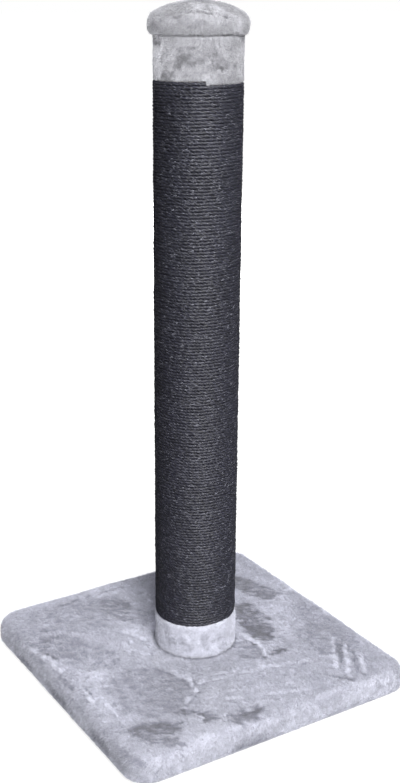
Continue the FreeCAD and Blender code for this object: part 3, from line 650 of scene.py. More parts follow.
def pressed_board(name, light, dark, chip_scale, chip_depth):
    """Board pressed from chips or fibres."""
    material, tree, shader = new_material(name)
    chips = add_node(tree, "ShaderNodeTexVoronoi", {
        "Vector": own_place(tree), "Scale": chip_scale, "Randomness": 1.0}, feature="F1").outputs["Distance"]
    patches, specks = mottled(tree, chip_scale / 4, chip_scale * 3)
    tone = calculate(tree, "ADD", calculate(tree, "MULTIPLY", chips, 0.7),
                     calculate(tree, "MULTIPLY", specks, 0.5))
    colour = blend_colours(tree, spread(tree, tone, 0.2, 0.9), opaque(dark), opaque(light))
    stain = spread(tree, patches, 0.4, 0.7, 0.0, 0.3)
    set_sockets(tree, shader, {
        "Base Color": blend_colours(tree, stain, colour, opaque(dark)),
        "Roughness": spread(tree, specks, 0.3, 0.7, 0.65, 0.85),
        "Normal": bump(tree, chips, chip_depth, 0.3)})
    return material


def cardboard():
    """Spiral-wound card: a slanting seam every hand's width, paper fibres, and painted shade, nearly black,
    under the rope.
    """
    seam_pitch, seam_width = 110 * MM, 1.2 * MM
    material, tree, shader = new_material("Wound cardboard")
    parts = split_parts(tree, own_place(tree))
    angle = calculate(tree, "ARCTAN2", parts["Y"], parts["X"])
    climb = calculate(tree, "MULTIPLY_ADD", angle, seam_pitch / math.tau, parts["Z"])
    seam = calculate(tree, "PINGPONG", climb, seam_pitch / 2)
    patches, specks = mottled(tree, 18.0, 500.0)
    colour = blend_colours(tree, spread(tree, specks, 0.3, 0.7), (0.30, 0.21, 0.13, 1), (0.50, 0.37, 0.24, 1))
    stain = spread(tree, patches, 0.4, 0.7, 0.0, 0.35)
    colour = blend_colours(tree, stain, colour, (0.40, 0.29, 0.18, 1))
    # Painted shade: the tube is nearly black where the rope is wound, so the gaps between its turns show
    # dark.
    above = calculate(tree, "GREATER_THAN", parts["Z"], COLLAR_HIGH.z)
    under_rope = calculate(tree, "MULTIPLY", above, calculate(tree, "LESS_THAN", parts["Z"], SLEEVE_LOW.z))
    colour = blend_colours(tree, under_rope, colour, (0.022, 0.022, 0.026, 1))
    line = calculate(tree, "MULTIPLY", spread(tree, seam, 0.0, seam_width, 1.0, 0.0), 0.6)
    set_sockets(tree, shader, {
        "Base Color": blend_colours(tree, line, colour, (0.16, 0.10, 0.06, 1)),
        "Roughness": spread(tree, specks, 0.3, 0.7, 0.75, 0.92), "Normal": bump(tree, seam, 0.5 * MM, 0.3)})
    return material


def zinc_steel():
    """Zinc plate: spangles, a faint grain and dull spots."""
    material, tree, shader = new_material("Zinc-plated steel")
    spangle = add_node(tree, "ShaderNodeTexVoronoi", {
        "Vector": own_place(tree), "Scale": 420.0}, feature="F1").outputs["Distance"]
    patches, specks = mottled(tree, 120.0, 1500.0)
    tint = blend_colours(tree, spread(tree, patches, 0.35, 0.7), (0.66, 0.67, 0.68, 1), (0.52, 0.52, 0.50, 1))
    glint = spread(tree, spangle, 0.2, 0.9, 0.0, 0.25)
    set_sockets(tree, shader, {
        "Base Color": blend_colours(tree, glint, tint, (0.80, 0.81, 0.83, 1)), "Metallic": 1.0,
        "Roughness": spread(tree, specks, 0.3, 0.7, 0.28, 0.5), "Normal": bump(tree, specks, 0.05 * MM, 0.2)})
    return material


def rubber():
    """Matt black rubber with a fine moulded grain and dust."""
    material, tree, shader = new_material("Moulded rubber")
    patches, specks = mottled(tree, 80.0, 1800.0)
    dust = spread(tree, patches, 0.4, 0.75, 0.0, 0.5)
    set_sockets(tree, shader, {
        "Base Color": blend_colours(tree, dust, (0.018, 0.018, 0.020, 1), (0.055, 0.054, 0.052, 1)),
        "Roughness": spread(tree, specks, 0.3, 0.7, 0.55, 0.75), "Normal": bump(tree, specks, 0.1 * MM, 0.4)})
    return material


def foam():
    """Pale upholstery foam with open cells."""
    material, tree, shader = new_material("Upholstery foam")
    cells = add_node(tree, "ShaderNodeTexVoronoi", {
        "Vector": own_place(tree), "Scale": 900.0}, feature="F1").outputs["Distance"]
    patches, _ = mottled(tree, 40.0, 900.0)
    colour = blend_colours(tree, spread(tree, cells, 0.1, 0.7), (0.62, 0.58, 0.45, 1), (0.84, 0.81, 0.68, 1))
    stain = spread(tree, patches, 0.4, 0.7, 0.0, 0.3)
    set_sockets(tree, shader, {
        "Base Color": blend_colours(tree, stain, colour, (0.74, 0.68, 0.50, 1)), "Roughness": 0.95,
        "Normal": bump(tree, cells, 0.6 * MM)})
    return material


# Meshes

def ripple(points, size, seed):
    """Smooth noise from -1 to 1 at each point, with bumps of about one size."""
    shift = Vector((seed * 7.31, seed * 3.77, seed * 5.13))
    return np.array([noise.noise(Vector(point) / size + shift) for point in points])


def ripples(points, waves, seed):
    """Sum of noises, each given as its height and the size of its bumps, with seeds that count up."""
    return sum(height * ripple(points, size, seed + step) for step, (height, size) in enumerate(waves))


def smooth_step(value):
    """Smooth rise from 0 to 1, and level beyond."""
    value = np.clip(value, 0.0, 1.0)
    return value * value * (3 - 2 * value)


def fade(distance, reach):
    """1 where there is no distance, and 0 from a reach on."""
    return smooth_step(1 - distance / reach)


def ring_mesh(name, rings, closed=False, poles=False):
    """A mesh through rings of as many points each. It closes on itself, or has a pole at either end."""
    rings = np.asarray(rings)
    count, around = rings.shape[:2]
    points = rings.reshape(-1, 3)
    index = np.arange(count * around).reshape(count, around)
    follow = np.vstack([index, index[:1]]) if closed else index
    low, high = follow[:-1], follow[1:]
    quads = np.stack([low, np.roll(low, -1, 1), np.roll(high, -1, 1), high], -1).reshape(-1, 4)
    faces = quads.tolist()
    if poles:
        points = np.vstack([points, rings[0].mean(0), rings[-1].mean(0)])
        first, last = count * around, count * around + 1
        for step in range(around):
            after = (step + 1) % around
            faces.append([first, index[0][after], index[0][step]])
            faces.append([last, index[-1][step], index[-1][after]])
    mesh = bpy.data.meshes.new(name)
    mesh.from_pydata(points.tolist(), [], faces)
    editing = bmesh.new()
    editing.from_mesh(mesh)
    bmesh.ops.recalc_face_normals(editing, faces=editing.faces)
    editing.to_mesh(mesh)
    editing.free()
    mesh.polygons.foreach_set("use_smooth", [True] * len(mesh.polygons))
    return mesh


def new_object(name, mesh, material):
    """An object in the scene, at the origin."""
    thing = bpy.data.objects.new(name, mesh)
    bpy.context.scene.collection.objects.link(thing)
    if material is not None:
        mesh.materials.clear()
        mesh.materials.append(material)
    return thing


def coordinates(mesh):
    found = np.empty(len(mesh.vertices) * 3, np.float32)
    mesh.vertices.foreach_get("co", found)
    return found.reshape(-1, 3).astype(float)


def put_coordinates(mesh, points):
    mesh.vertices.foreach_set("co", points.astype(np.float32).ravel())


def vertex_normals(mesh):
    return np.array([vertex.normal for vertex in mesh.vertices])


def from_axis(points):
    """Distance of each point from the post's axis."""
    return np.linalg.norm(points[:, :2], axis=1)


def outward(points):
    """The level way out from the post's axis at each point."""
    return points * (1, 1, 0) / np.maximum(from_axis(points), TINY)[:, None]


def surface_of(mesh, points):
    """A mesh with its vertices at some points, as a surface that rays can hit."""
    return BVHTree.FromPolygons(points.tolist(), [face.vertices for face in mesh.polygons])


def put_values(mesh, name, values):
    """Store a number or a vector for each vertex."""
    values = np.asarray(values, np.float32)
    kind, key = ("FLOAT", "value") if values.ndim == 1 else ("FLOAT_VECTOR", "vector")
    layer = mesh.attributes.get(name) or mesh.attributes.new(name, kind, "POINT")
    layer.data.foreach_set(key, values.ravel())


def read_vectors(mesh, name):
    found = np.empty(len(mesh.vertices) * 3, np.float32)
    mesh.attributes[name].data.foreach_get("vector", found)
    return found.reshape(-1, 3)


def put_nap(mesh, tone, lean, flat):
    """Store the tone and the lean of the pile for each vertex, and the vertex's place on the flat cloth."""
    put_values(mesh, "nap", tone)
    put_values(mesh, "lean", lean)
    put_values(mesh, "flat", np.column_stack([flat, np.zeros(len(flat))]))


def put_map(mesh, places, vertex_of_corner=None):
    """Store a flat map, one place for each corner, drawn out to fill the square."""
    if vertex_of_corner is not None:
        places = places[vertex_of_corner]
    low, high = places.min(0), places.max(0)
    layer = mesh.uv_layers.new(name=BAKE_MAP)
    layer.data.foreach_set("uv", ((places - low) / (high - low)).astype(np.float32).ravel())


def corner_vertices(mesh):
    found = np.empty(len(mesh.loops), np.int32)
    mesh.loops.foreach_get("vertex_index", found)
    return found


def as_plain_mesh(thing, material):
    """Turn an object's modifiers into a plain mesh, and drop them."""
    bpy.context.view_layer.update()
    shown = thing.evaluated_get(bpy.context.evaluated_depsgraph_get())
    mesh = bpy.data.meshes.new_from_object(shown)
    thing.modifiers.clear()
    old = thing.data
    thing.data = mesh
    bpy.data.meshes.remove(old)
    mesh.name = thing.name
    mesh.materials.clear()
    mesh.materials.append(material)
    return mesh


def use_tree(thing, tree, **inputs):
    """Give an object a geometry tree, with its inputs set by their identifiers."""
    modifier = thing.modifiers.new(tree.name, "NODES")
    modifier.node_group = tree
    identifiers = {item.name: item.identifier for item in tree.interface.items_tree if item.in_out == "INPUT"}
    for name, value in inputs.items():
        modifier[identifiers[name.replace("_", " ").title()]] = value


def geometry_position(tree):
    return add_node(tree, "GeometryNodeInputPosition").outputs[0]


def store(tree, geometry, name, value, kind="FLOAT"):
    """Geometry with a value stored on its points."""
    return add_node(tree, "GeometryNodeStoreNamedAttribute", {
        "Geometry": geometry, "Name": name, "Value": value}, data_type=kind, domain="POINT").outputs[0]


def scatter_points(tree, mesh, density, seed):
    """Points spread at random over faces, and the faces' normals there."""
    found = add_node(tree, "GeometryNodeDistributePointsOnFaces", {
        "Mesh": mesh, "Density": density, "Seed": seed}, distribute_method="RANDOM").outputs
    return found["Points"], found["Normal"]


def draw_way(tree, seed):
    """A random vector for each point."""
    return add_node(tree, "FunctionNodeRandomValue", {0: (-1, -1, -1), 1: (1, 1, 1), "Seed": seed},
                    data_type="FLOAT_VECTOR").outputs[0]


def draw_number(tree, low, high, seed):
    """A random number for each point."""
    return add_node(tree, "FunctionNodeRandomValue", {2: low, 3: high, "Seed": seed},
                    data_type="FLOAT").outputs[1]


def turn_to(tree, up, side, side_axis):
    """A rotation that takes the Z axis to one way, and another axis near a second way."""
    return add_node(tree, "FunctionNodeAxesToRotation", {"Primary Axis": up, "Secondary Axis": side},
                    primary_axis="Z", secondary_axis=side_axis).outputs[0]


def plant(tree, points, thing, turn, size):
    """Copies of an object on points."""
    copied = add_node(tree, "GeometryNodeObjectInfo", {"Object": thing}).outputs["Geometry"]
    return add_node(tree, "GeometryNodeInstanceOnPoints", {
        "Points": points, "Instance": copied, "Rotation": turn, "Scale": size}).outputs[0]


def end_tree(tree, end, geometry, material):
    """End a geometry tree in real faces with a material."""
    real = add_node(tree, "GeometryNodeRealizeInstances", {"Geometry": geometry}).outputs[0]
    dressed = add_node(tree, "GeometryNodeSetMaterial", {"Geometry": real, "Material": material}).outputs[0]
    tree.links.new(dressed, end.inputs["Geometry"])


def hand_over(thing, node):
    """Put a piece on its body, and hide the node that it stands for."""
    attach(thing, BODY)
    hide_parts(node)


# Pile

def tuft_template():
    """One tuft of fibres: a slim triangle, one unit wide and one unit long."""
    mesh = bpy.data.meshes.new("tuft_template")
    mesh.from_pydata([(-0.5, 0, 0), (0.5, 0, 0), (0, 0, 1)], [], [(0, 1, 2)])
    put_values(mesh, "tip", [0.0, 0.0, 1.0])
    put_values(mesh, "tuft_place", [(-0.5, 0, 0), (0.5, 0, 0), (0, 1, 0)])
    return new_object("tuft_template", mesh, None)


def pile_tree():
    """Geometry tree: tufts all over a skin, leaning as the skin's nap says."""
    if "Pile" in bpy.data.node_groups:
        return bpy.data.node_groups["Pile"]
    tree, start, end = new_group("Pile", "GeometryNodeTree", [
        ("Geometry", "NodeSocketGeometry", None), ("Tuft", "NodeSocketObject", None),
        ("Density", "NodeSocketFloat", 1e6), ("Length", "NodeSocketFloat", 6 * MM),
        ("Width", "NodeSocketFloat", 0.5 * MM), ("Spread", "NodeSocketFloat", 0.35),
        ("Clumps", "NodeSocketFloat", 200.0),
        ("Seed", "NodeSocketInt", 1), ("Material", "NodeSocketMaterial", None),
    ], [("Geometry", "NodeSocketGeometry")])
    given = start.outputs

    def stored(name, kind):
        return add_node(tree, "GeometryNodeInputNamedAttribute", {"Name": name}, data_type=kind).outputs[0]

    density = calculate(tree, "MULTIPLY", given["Density"], stored("pile", "FLOAT"))
    points, normal = scatter_points(tree, given["Geometry"], density, given["Seed"])
    stray = calculate_vector(tree, "SCALE", draw_way(tree, given["Seed"]), given["Spread"])
    lean = calculate_vector(tree, "ADD", stored("lean", "FLOAT_VECTOR"), stray)
    clump = add_node(tree, "ShaderNodeTexNoise", {
        "Vector": geometry_position(tree), "Scale": given["Clumps"], "Detail": 1.0}).outputs
    gathered = calculate_vector(tree, "SUBTRACT", clump["Color"], (0.5, 0.5, 0.5))
    lean = calculate_vector(tree, "ADD", lean, calculate_vector(tree, "SCALE", gathered, 2.0))
    way = calculate_vector(tree, "ADD", normal, lean)
    facing = draw_way(tree, calculate(tree, "ADD", given["Seed"], 100.0))
    turn = turn_to(tree, way, facing, "Y")
    lock_place = add_node(tree, "ShaderNodeVectorRotate", {
        "Vector": geometry_position(tree), "Axis": (0, 0, 1), "Angle": LOCK_TURN},
        rotation_type="AXIS_ANGLE").outputs[0]
    waves = add_node(tree, "ShaderNodeTexNoise", {
        "Vector": calculate_vector(tree, "MULTIPLY", lock_place, LOCK_SCALE), "Scale": 1.0, "Detail": 1.5,
        "Roughness": 0.5, "Distortion": 0.9}).outputs["Fac"]
    lock = calculate(tree, "FRACT", calculate(tree, "MULTIPLY", waves, LOCK_WAVES))
    chance = draw_number(tree, 0.0, 1.0, given["Seed"])
    uneven = calculate(tree, "ADD", calculate(tree, "MULTIPLY", chance, 0.4),
                       spread(tree, clump["Fac"], 0.3, 0.7, 0.5, 1.1))
    uneven = calculate(tree, "MULTIPLY", uneven, spread(tree, lock, 0.0, 1.0, 0.75, 1.15))
    length = calculate(tree, "MULTIPLY", given["Length"], uneven)
    size = join_parts(tree, x=given["Width"], y=given["Width"], z=length)
    points = store(tree, points, "tuft", chance)
    points = store(tree, points, "lock", lock)
    points = store(tree, points, "skin_normal", normal, "FLOAT_VECTOR")
    end_tree(tree, end, plant(tree, points, given["Tuft"], turn, size), given["Material"])
    return tree


def grow_pile(name, skin, node, share, material, length, plush, seed_step=0):
    """A piece of pile on a skin. The share says where it grows, from 0 to 1 for each vertex."""
    tuft = bpy.data.objects.get("tuft_template") or tuft_template()
    thing = new_object(name, skin.data.copy(), material)
    put_values(thing.data, "pile", share)
    use_tree(thing, pile_tree(), tuft=tuft, density=plush.pile_density, length=length, width=plush.pile_width,
             spread=TUFT_SPREAD, clumps=CLUMP_SCALE, seed=plush.seed + seed_step, material=material)
    mesh = as_plain_mesh(thing, material)
    flat = read_vectors(mesh, "flat")[:, :2] + read_vectors(mesh, "tuft_place")[:, :2] * TUFT_MAP_SIZE
    put_map(mesh, flat, corner_vertices(mesh))
    for spare in ("tuft_place", "flat", "lean", "pile"):
        mesh.attributes.remove(mesh.attributes[spare])
    hand_over(thing, node)
    return thing


# Camera

def camera_frame(stage):
    """Where the camera is and its right, up and forward directions."""
    turn = Matrix.Rotation(-stage.camera_turn, 3, "Z")
    aim, pitch, roll = stage.camera_aim, stage.camera_pitch, stage.camera_roll
    ahead = Vector((math.sin(aim), math.cos(aim), 0))
    side = Vector((math.cos(aim), -math.sin(aim), 0))
    forward = ahead * math.cos(pitch) - Vector((0, 0, math.sin(pitch)))
    top = ahead * math.sin(pitch) + Vector((0, 0, math.cos(pitch)))
    right = side * math.cos(roll) - top * math.sin(roll)
    up = side * math.sin(roll) + top * math.cos(roll)
    place = Vector((0, -stage.camera_distance, stage.camera_height))
    return tuple(turn @ vector for vector in (place, right, up, forward))


def ray_through(pixel, stage):
    """Where a ray through a pixel of the image starts, and its direction."""
    place, right, up, forward = camera_frame(stage)
    across = (pixel[0] - IMAGE_SIZE[0] / 2) / stage.focal_pixels
    down = (pixel[1] - IMAGE_SIZE[1] / 2) / stage.focal_pixels
    return place, (forward + right * across - up * down).normalized()


def brush(mesh, points, strokes, stage, wander, strength):
    """Tone and relief that strokes leave at each point of a skin. Their edges wander by a length.

    Broad strokes run out in streaks. Thin ones are broken, and shaded along their nearer flank in the image.
    """
    surface = surface_of(mesh, points)
    moved = points.copy()
    for axis in range(3):
        for step, (height, size) in enumerate(EDGE_WAVES):
            moved[:, axis] += height * wander * ripple(points, size * wander, axis + 1 + 3 * step)
    right, up, forward = (np.array(vector) for vector in camera_frame(stage)[1:])
    streaks = np.column_stack([STREAK_SQUEEZE * points @ right, points @ up, points @ forward])
    streaked = moved + right * (STREAK_REACH * wander * ripple(streaks, STREAK_WIDTH, 14))[:, None]
    clouds = STREAK_HEIGHT * ripple(streaks, STREAK_WIDTH, 12) + CLOUD_HEIGHT * ripple(points, CLOUD_SIZE, 15)
    uneven = np.clip(CLOUD_MIDDLE + clouds, *CLOUD_RANGE)
    broken = np.clip(BREAK_MIDDLE + BREAK_HEIGHT * ripple(points, BREAK_SIZE, 13), *BREAK_RANGE)
    tone, relief = np.zeros(len(points)), np.zeros(len(points))
    for name, start, end, half_width_mm, stroke_tone, height_mm in strokes:
        hits = [surface.ray_cast(*ray_through(pixel, stage))[0] for pixel in (start, end)]
        if None in hits:
            raise ValueError(f"the stroke {name} misses its skin")
        first, last = (np.array(hit) for hit in hits)
        line = last - first
        half_width = half_width_mm * MM
        broad = half_width > BROAD_STROKE
        from_first = (streaked if broad else moved) - first
        share = np.clip(from_first @ line / (line @ line), 0, 1)
        offset = from_first - share[:, None] * line
        away = np.linalg.norm(offset, axis=1)
        soft = min(half_width, BROAD_EDGE) if broad else THIN_EDGE_SHARE * half_width
        weight = smooth_step((half_width + soft / 2 - away) / soft)
        if broad:
            tone += weight * stroke_tone * strength * uneven
        else:
            flank = smooth_step((FLANK_REACH * half_width - away) / (FLANK_FADE * half_width))
            flank = flank * (offset @ forward < 0) * (1 - weight)
            tone += (weight - FLANK_SHARE * flank) * stroke_tone * THIN_SHARE * strength * broken
        relief += weight * height_mm * MM
    return tone, relief


# Base

def square_round(straight_steps, corner_steps):
    """Points on the square that the rounded corners turn about, with the way outwards at each."""
    reach = BASE_HIGH.x - BASE_CORNER
    core, ways = [], []
    for quarter in range(4):
        angle = quarter * math.pi / 2
        out = np.array([math.cos(angle), math.sin(angle)])
        along = np.array([-out[1], out[0]])
        for step in range(straight_steps):
            core.append(reach * out + reach * along * (2 * step / straight_steps - 1))
            ways.append(out)
        for step in range(corner_steps):
            part = step / corner_steps * math.pi / 2
            core.append(reach * (out + along))
            ways.append(out * math.cos(part) + along * math.sin(part))
    return np.array(core), np.array(ways)


def at_height(plan, height):
    return np.column_stack([plan, np.full(len(plan), height)])


def quarter_turn(steps):
    """Angles that go through a quarter turn in equal steps, from the first step on."""
    return [step / steps * math.pi / 2 for step in range(1, steps + 1)]


def inward_step(plan, distance):
    """A step of one length from each point towards the post, square to its side of the base."""
    on_side = np.abs(plan) > np.abs(plan)[:, ::-1] - TINY
    return np.where(on_side, -np.sign(plan), 0.0) * distance


def base_rings(plush):
    """Closed section of the base's cover, as rings from the post outwards, under the hem and back inside.

    Also how far each ring lies along the cloth past the square that the corners turn about, how many rings
    show, and that square with its ways outwards.
    """
    core, ways = square_round(SIDE_STEPS, CORNER_STEPS)
    depth, hem = plush.skin_depth, BASE_HEM_ROUND
    top, foot = BASE_HIGH.z - depth, BASE_LOW.z
    edge = BASE_EDGE_ROUND - depth
    flat_reach = BASE_CORNER - BASE_EDGE_ROUND
    rim = core + ways * flat_reach
    post = rim / from_axis(rim)[:, None] * (COLLAR_HIGH.x - POST_TUCK)
    rings, lengths = [], []

    def add(plan, height, length):
        rings.append(at_height(plan, height))
        lengths.append(length)

    for step in range(TOP_RINGS):
        share = step / (TOP_RINGS - 1)
        add(post + (rim - post) * share, top, share * flat_reach)
    walked = flat_reach
    for angle in quarter_turn(EDGE_RINGS):
        add(rim + ways * edge * math.sin(angle), top - edge * (1 - math.cos(angle)), walked + edge * angle)
    walked += edge * math.pi / 2
    side_head, side_foot = top - edge, foot + hem
    for step in range(1, SIDE_RINGS + 1):
        share = step / SIDE_RINGS
        add(rim + ways * edge, side_head + (side_foot - side_head) * share,
            walked + (side_head - side_foot) * share)
    walked += side_head - side_foot
    for angle in quarter_turn(HEM_RINGS):
        add(rim + ways * (edge - hem * (1 - math.cos(angle))), side_foot - hem * math.sin(angle),
            walked + hem * angle)
    walked += hem * math.pi / 2
    shown = len(rings)
    under = rim + ways * (edge - hem)
    for step in range(1, UNDER_RINGS + 1):
        inward = step / UNDER_RINGS * HEM_REACH
        add(under + inward_step(rim, inward), foot + HEM_STEP * step, walked + inward)
    inside = BOARD_HIGH.x + SOFT_GAP - (BASE_HIGH.x - BASE_CORNER)
    lift, inner_top = BOARD_LOW.z - SOFT_GAP, UPPER_BOARD_HIGH.z + SOFT_GAP
    last = lengths[-1]
    add(under + inward_step(rim, HEM_REACH), lift, last)
    add(core + ways * inside, lift, last)
    add(core + ways * inside, inner_top - BOARD_EDGE_ROUND, last)
    for angle in quarter_turn(BOARD_RINGS):
        back, rise = BOARD_EDGE_ROUND * (1 - math.cos(angle)), BOARD_EDGE_ROUND * math.sin(angle)
        add(core + ways * (inside - back), inner_top - BOARD_EDGE_ROUND + rise, last)
    add(post, inner_top, last)
    return np.array(rings), np.array(lengths), shown, core, ways


class POST_OT_base_cover(bpy.types.Operator):
    """Cover the base with plush: a stretched backing, and pile brushed in patches"""

    bl_idname = "scratching_post.base_cover"
    bl_label = "Base cover"

    def execute(self, context):
        plush, _, stage = settings()
        rings, lengths, shown, core, ways = base_rings(plush)
        count, around = rings.shape[:2]
        mesh = ring_mesh("base_cover", rings, closed=True)
        points = coordinates(mesh)
        normals = vertex_normals(mesh)
        ring_of = np.repeat(np.arange(count), around)
        on_top = smooth_step((normals[:, 2] - LEVEL_START) / LEVEL_RANGE) * (ring_of < shown)
        tone, relief = brush(mesh, points, BASE_STROKES, stage, BASE_WANDER, BASE_MARKS)
        tone += ripples(points, BASE_CLOUDS, BASE_SEED)
        # Painted shade along the bend between the base's top and its sides.
        tone += TOP_TONE * on_top + SIDE_TONE * (1 - on_top) + BEND_PAINTED_SHADE * on_top * (1 - on_top)
        # Painted shadow on the base's top round the foot of the post.
        tone += POST_FOOT_PAINTED_SHADOW * fade(from_axis(points) - COLLAR_HIGH.x, POST_FADE) * on_top
        outside = ring_of < shown - HEM_RINGS
        swell = ripples(points, BASE_SWELL, BASE_SEED + 2)
        moved = points + normals * ((relief + swell) * outside)[:, None]
        diagonal = np.tile(smooth_step(2 * np.abs(ways[:, 0] * ways[:, 1])), count)
        past_edge = smooth_step((ring_of - TOP_RINGS + FULLNESS_RINGS / 2) / FULLNESS_RINGS)
        fullness = CORNER_FULLNESS * diagonal * past_edge * outside
        moved[:, :2] += np.tile(ways, (count, 1)) * fullness[:, None]
        put_coordinates(mesh, moved)

        flat = (core[None] + ways[None] * lengths[:, None, None]).reshape(-1, 2)
        flat[ring_of < TOP_RINGS] = points[ring_of < TOP_RINGS, :2]
        put_nap(mesh, tone, self.pile_lean(points, tone, on_top, stage), flat)
        backing, material = plush_materials()
        skin = new_object("base_cover", mesh, backing)
        for step, (side, x_sign, y_sign) in enumerate((
                ("front_left", -1, -1), ("front_right", 1, -1), ("rear_left", -1, 1), ("rear_right", 1, 1))):
            here = (points[:, 0] * x_sign >= -TINY) & (points[:, 1] * y_sign >= -TINY) & (ring_of < shown)
            here &= points[:, 2] > BASE_LOW.z + PILE_START
            grow_pile(f"base_pile_{side}", skin, "base_plush_cover", here.astype(float),
                                   material, plush.pile_length, plush, step)
        hand_over(skin, "base_plush_cover")
        side = 2 * (BASE_HIGH.x + BASE_HIGH.z - BASE_LOW.z + HEM_WIDTH - BASE_EDGE_ROUND / 2)
        return {"FINISHED"}

    def pile_lean(self, points, tone, on_top, stage):
        """How the pile leans: brushed in waves and by the marks on top, and hanging down the sides."""
        heading = BASE_WAY + ripples(points, BASE_HEADING, BASE_SEED + 4)
        brushed = np.column_stack([np.cos(heading), np.sin(heading), np.zeros(len(points))])
        forward = camera_frame(stage)[3]
        away = np.array([forward.x, forward.y, 0]) / math.hypot(forward.x, forward.y)
        lying = TOP_LEAN * brushed + MARK_LEAN * tone[:, None] * away
        clear_of_floor = smooth_step((points[:, 2] - BASE_LOW.z - FLOOR_CLEARANCE) / FLOOR_FADE)
        drop = HANG * clear_of_floor - FLOOR_LIFT
        falling = np.array([0, 0, -1.0]) * drop[:, None] + SIDE_LEAN * brushed
        return lying * on_top[:, None] + falling * (1 - on_top)[:, None]


# Bands and cap

def turned_rings(profile, around):
    """Rings from radius and height pairs, turned about the post's axis."""
    angles = np.arange(around) / around * math.tau
    circle = np.column_stack([np.cos(angles), np.sin(angles)])
    return np.array([at_height(circle * radius, height) for radius, height in profile])


def arc_profile(centre, radius, start, end, steps):
    """Points on an arc of a section, from one angle to another."""
    angles = np.linspace(start, end, steps)
    return [(centre[0] + radius * math.cos(angle), centre[1] + radius * math.sin(angle)) for angle in angles]


def band_profile(inner, outer, foot, head):
    """Closed section of a plush band, from its outer foot up and round to the inside."""
    rounding = BAND_EDGE_ROUND
    low, high, middle = foot + rounding, head - rounding, outer - rounding
    profile = arc_profile((middle, low), rounding, -math.pi / 2, 0, BAND_EDGE_RINGS)
    profile += [(outer, height) for height in np.linspace(low, high, BAND_RINGS)[1:-1]]
    profile += arc_profile((middle, high), rounding, 0, math.pi / 2, BAND_EDGE_RINGS)
    return profile + [(inner, head), (inner, foot)]


def helix_share(points, end_angle):
    """How far round the post each point lies past an angle, from 0 to 1."""
    angle = np.arctan2(points[:, 1], points[:, 0])
    return (angle - end_angle) / math.tau % 1.0


def dress_band(name, node, inner, outer, foot, head, strokes, band_tone, seed, edge_shift, tuck):
    """A plush band round the post with its pile. edge_shift moves its points up or down to meet the rope.

    tuck is how far its upper edge goes in, so that the rope hides it.
    """
    plush, _, stage = settings()
    upper = foot > TUBE_HIGH.z / 2
    depth = plush.skin_depth * BAND_DEPTH_SHARE
    profile = band_profile(inner, outer - depth, foot, head)
    mesh = ring_mesh(name, turned_rings(profile, BAND_STEPS), closed=True)
    points = coordinates(mesh)
    out = outward(points)
    outside = from_axis(points) > (inner + outer - depth) / 2
    points[:, 2] += edge_shift(points)
    height = points[:, 2]
    tone, relief = brush(mesh, points, strokes, stage, BAND_WANDER, BAND_MARKS)
    tone += ripples(points, BAND_CLOUDS, seed + 2)
    # Painted shadow along the collar's foot.
    tone += band_tone + COLLAR_FOOT_PAINTED_SHADOW * fade(height - foot, COLLAR_FOOT_FADE) * (not upper)
    # Painted light on the sleeve's head, against the shade under the cap.
    tone += SLEEVE_HEAD_PAINTED_LIGHT * fade(CAP_LOW.z - height, SLEEVE_HEAD_FADE)
    tucked = tuck * fade(head - height, TUCK_FADE)
    swell = ripples(points, BAND_SWELL, seed)
    moved = points + out * ((swell + relief - tucked) * outside)[:, None]
    put_coordinates(mesh, moved)
    heading = ripples(points, BAND_HEADING, seed + 4)[:, None]
    lean = np.cross((0, 0, 1), out) * np.sin(heading) - np.array([0, 0, 1.0]) * np.cos(heading)
    round_post = helix_share(points, ROPE_END_ANGLE) * math.tau * outer
    put_nap(mesh, tone, lean * BAND_LEAN, np.column_stack([round_post, height]))
    backing, material = plush_materials(upper)
    skin = new_object(name, mesh, backing)
    pile = grow_pile(f"{name}_pile", skin, node, outside.astype(float), material,
                     plush.pile_length * BAND_PILE_SHARE, plush, seed)
    hand_over(skin, node)


class POST_OT_bands(bpy.types.Operator):
    """Put the plush collar and the plush sleeve round the post"""

    bl_idname = "scratching_post.bands"
    bl_label = "Collar and sleeve"

    def execute(self, context):
        _, rope, _ = settings()

        def collar_edge(points):
            """The collar's upper edge climbs with the rope's first turn, with its step at the back."""
            share = helix_share(points, ROPE_END_ANGLE + math.pi)
            upper = fade(COLLAR_HIGH.z - points[:, 2], COLLAR_HEAD_FADE)
            return upper * (rope.pitch * (share - 0.5) - ROPE_ROOM)

        def sleeve_edge(points):
            """The sleeve's lower edge follows the rope's last turn, and its corner hangs where that ends."""
            share = helix_share(points, ROPE_END_ANGLE)
            lower = fade(points[:, 2] - SLEEVE_LOW.z, SLEEVE_FOOT_FADE)
            corner = SLEEVE_CORNER_DROP * fade(share, SLEEVE_CORNER_SHARE)
            return -lower * (rope.pitch * (1 - share) + corner - ROPE_ROOM)

        dress_band("plush_collar", "lower_plush_collar", -COLLAR_LOW.x - COLLAR_WALL, COLLAR_HIGH.x,
                   COLLAR_LOW.z, COLLAR_HIGH.z, COLLAR_STROKES, COLLAR_TONE, COLLAR_SEED, collar_edge,
                   COLLAR_HEAD_TUCK)
        dress_band("plush_sleeve", "upper_plush_sleeve", SLEEVE_HIGH.x - SLEEVE_WALL, SLEEVE_HIGH.x,
                   SLEEVE_LOW.z, SLEEVE_HIGH.z, SLEEVE_STROKES, SLEEVE_TONE, SLEEVE_SEED, sleeve_edge, 0.0)
        return {"FINISHED"}


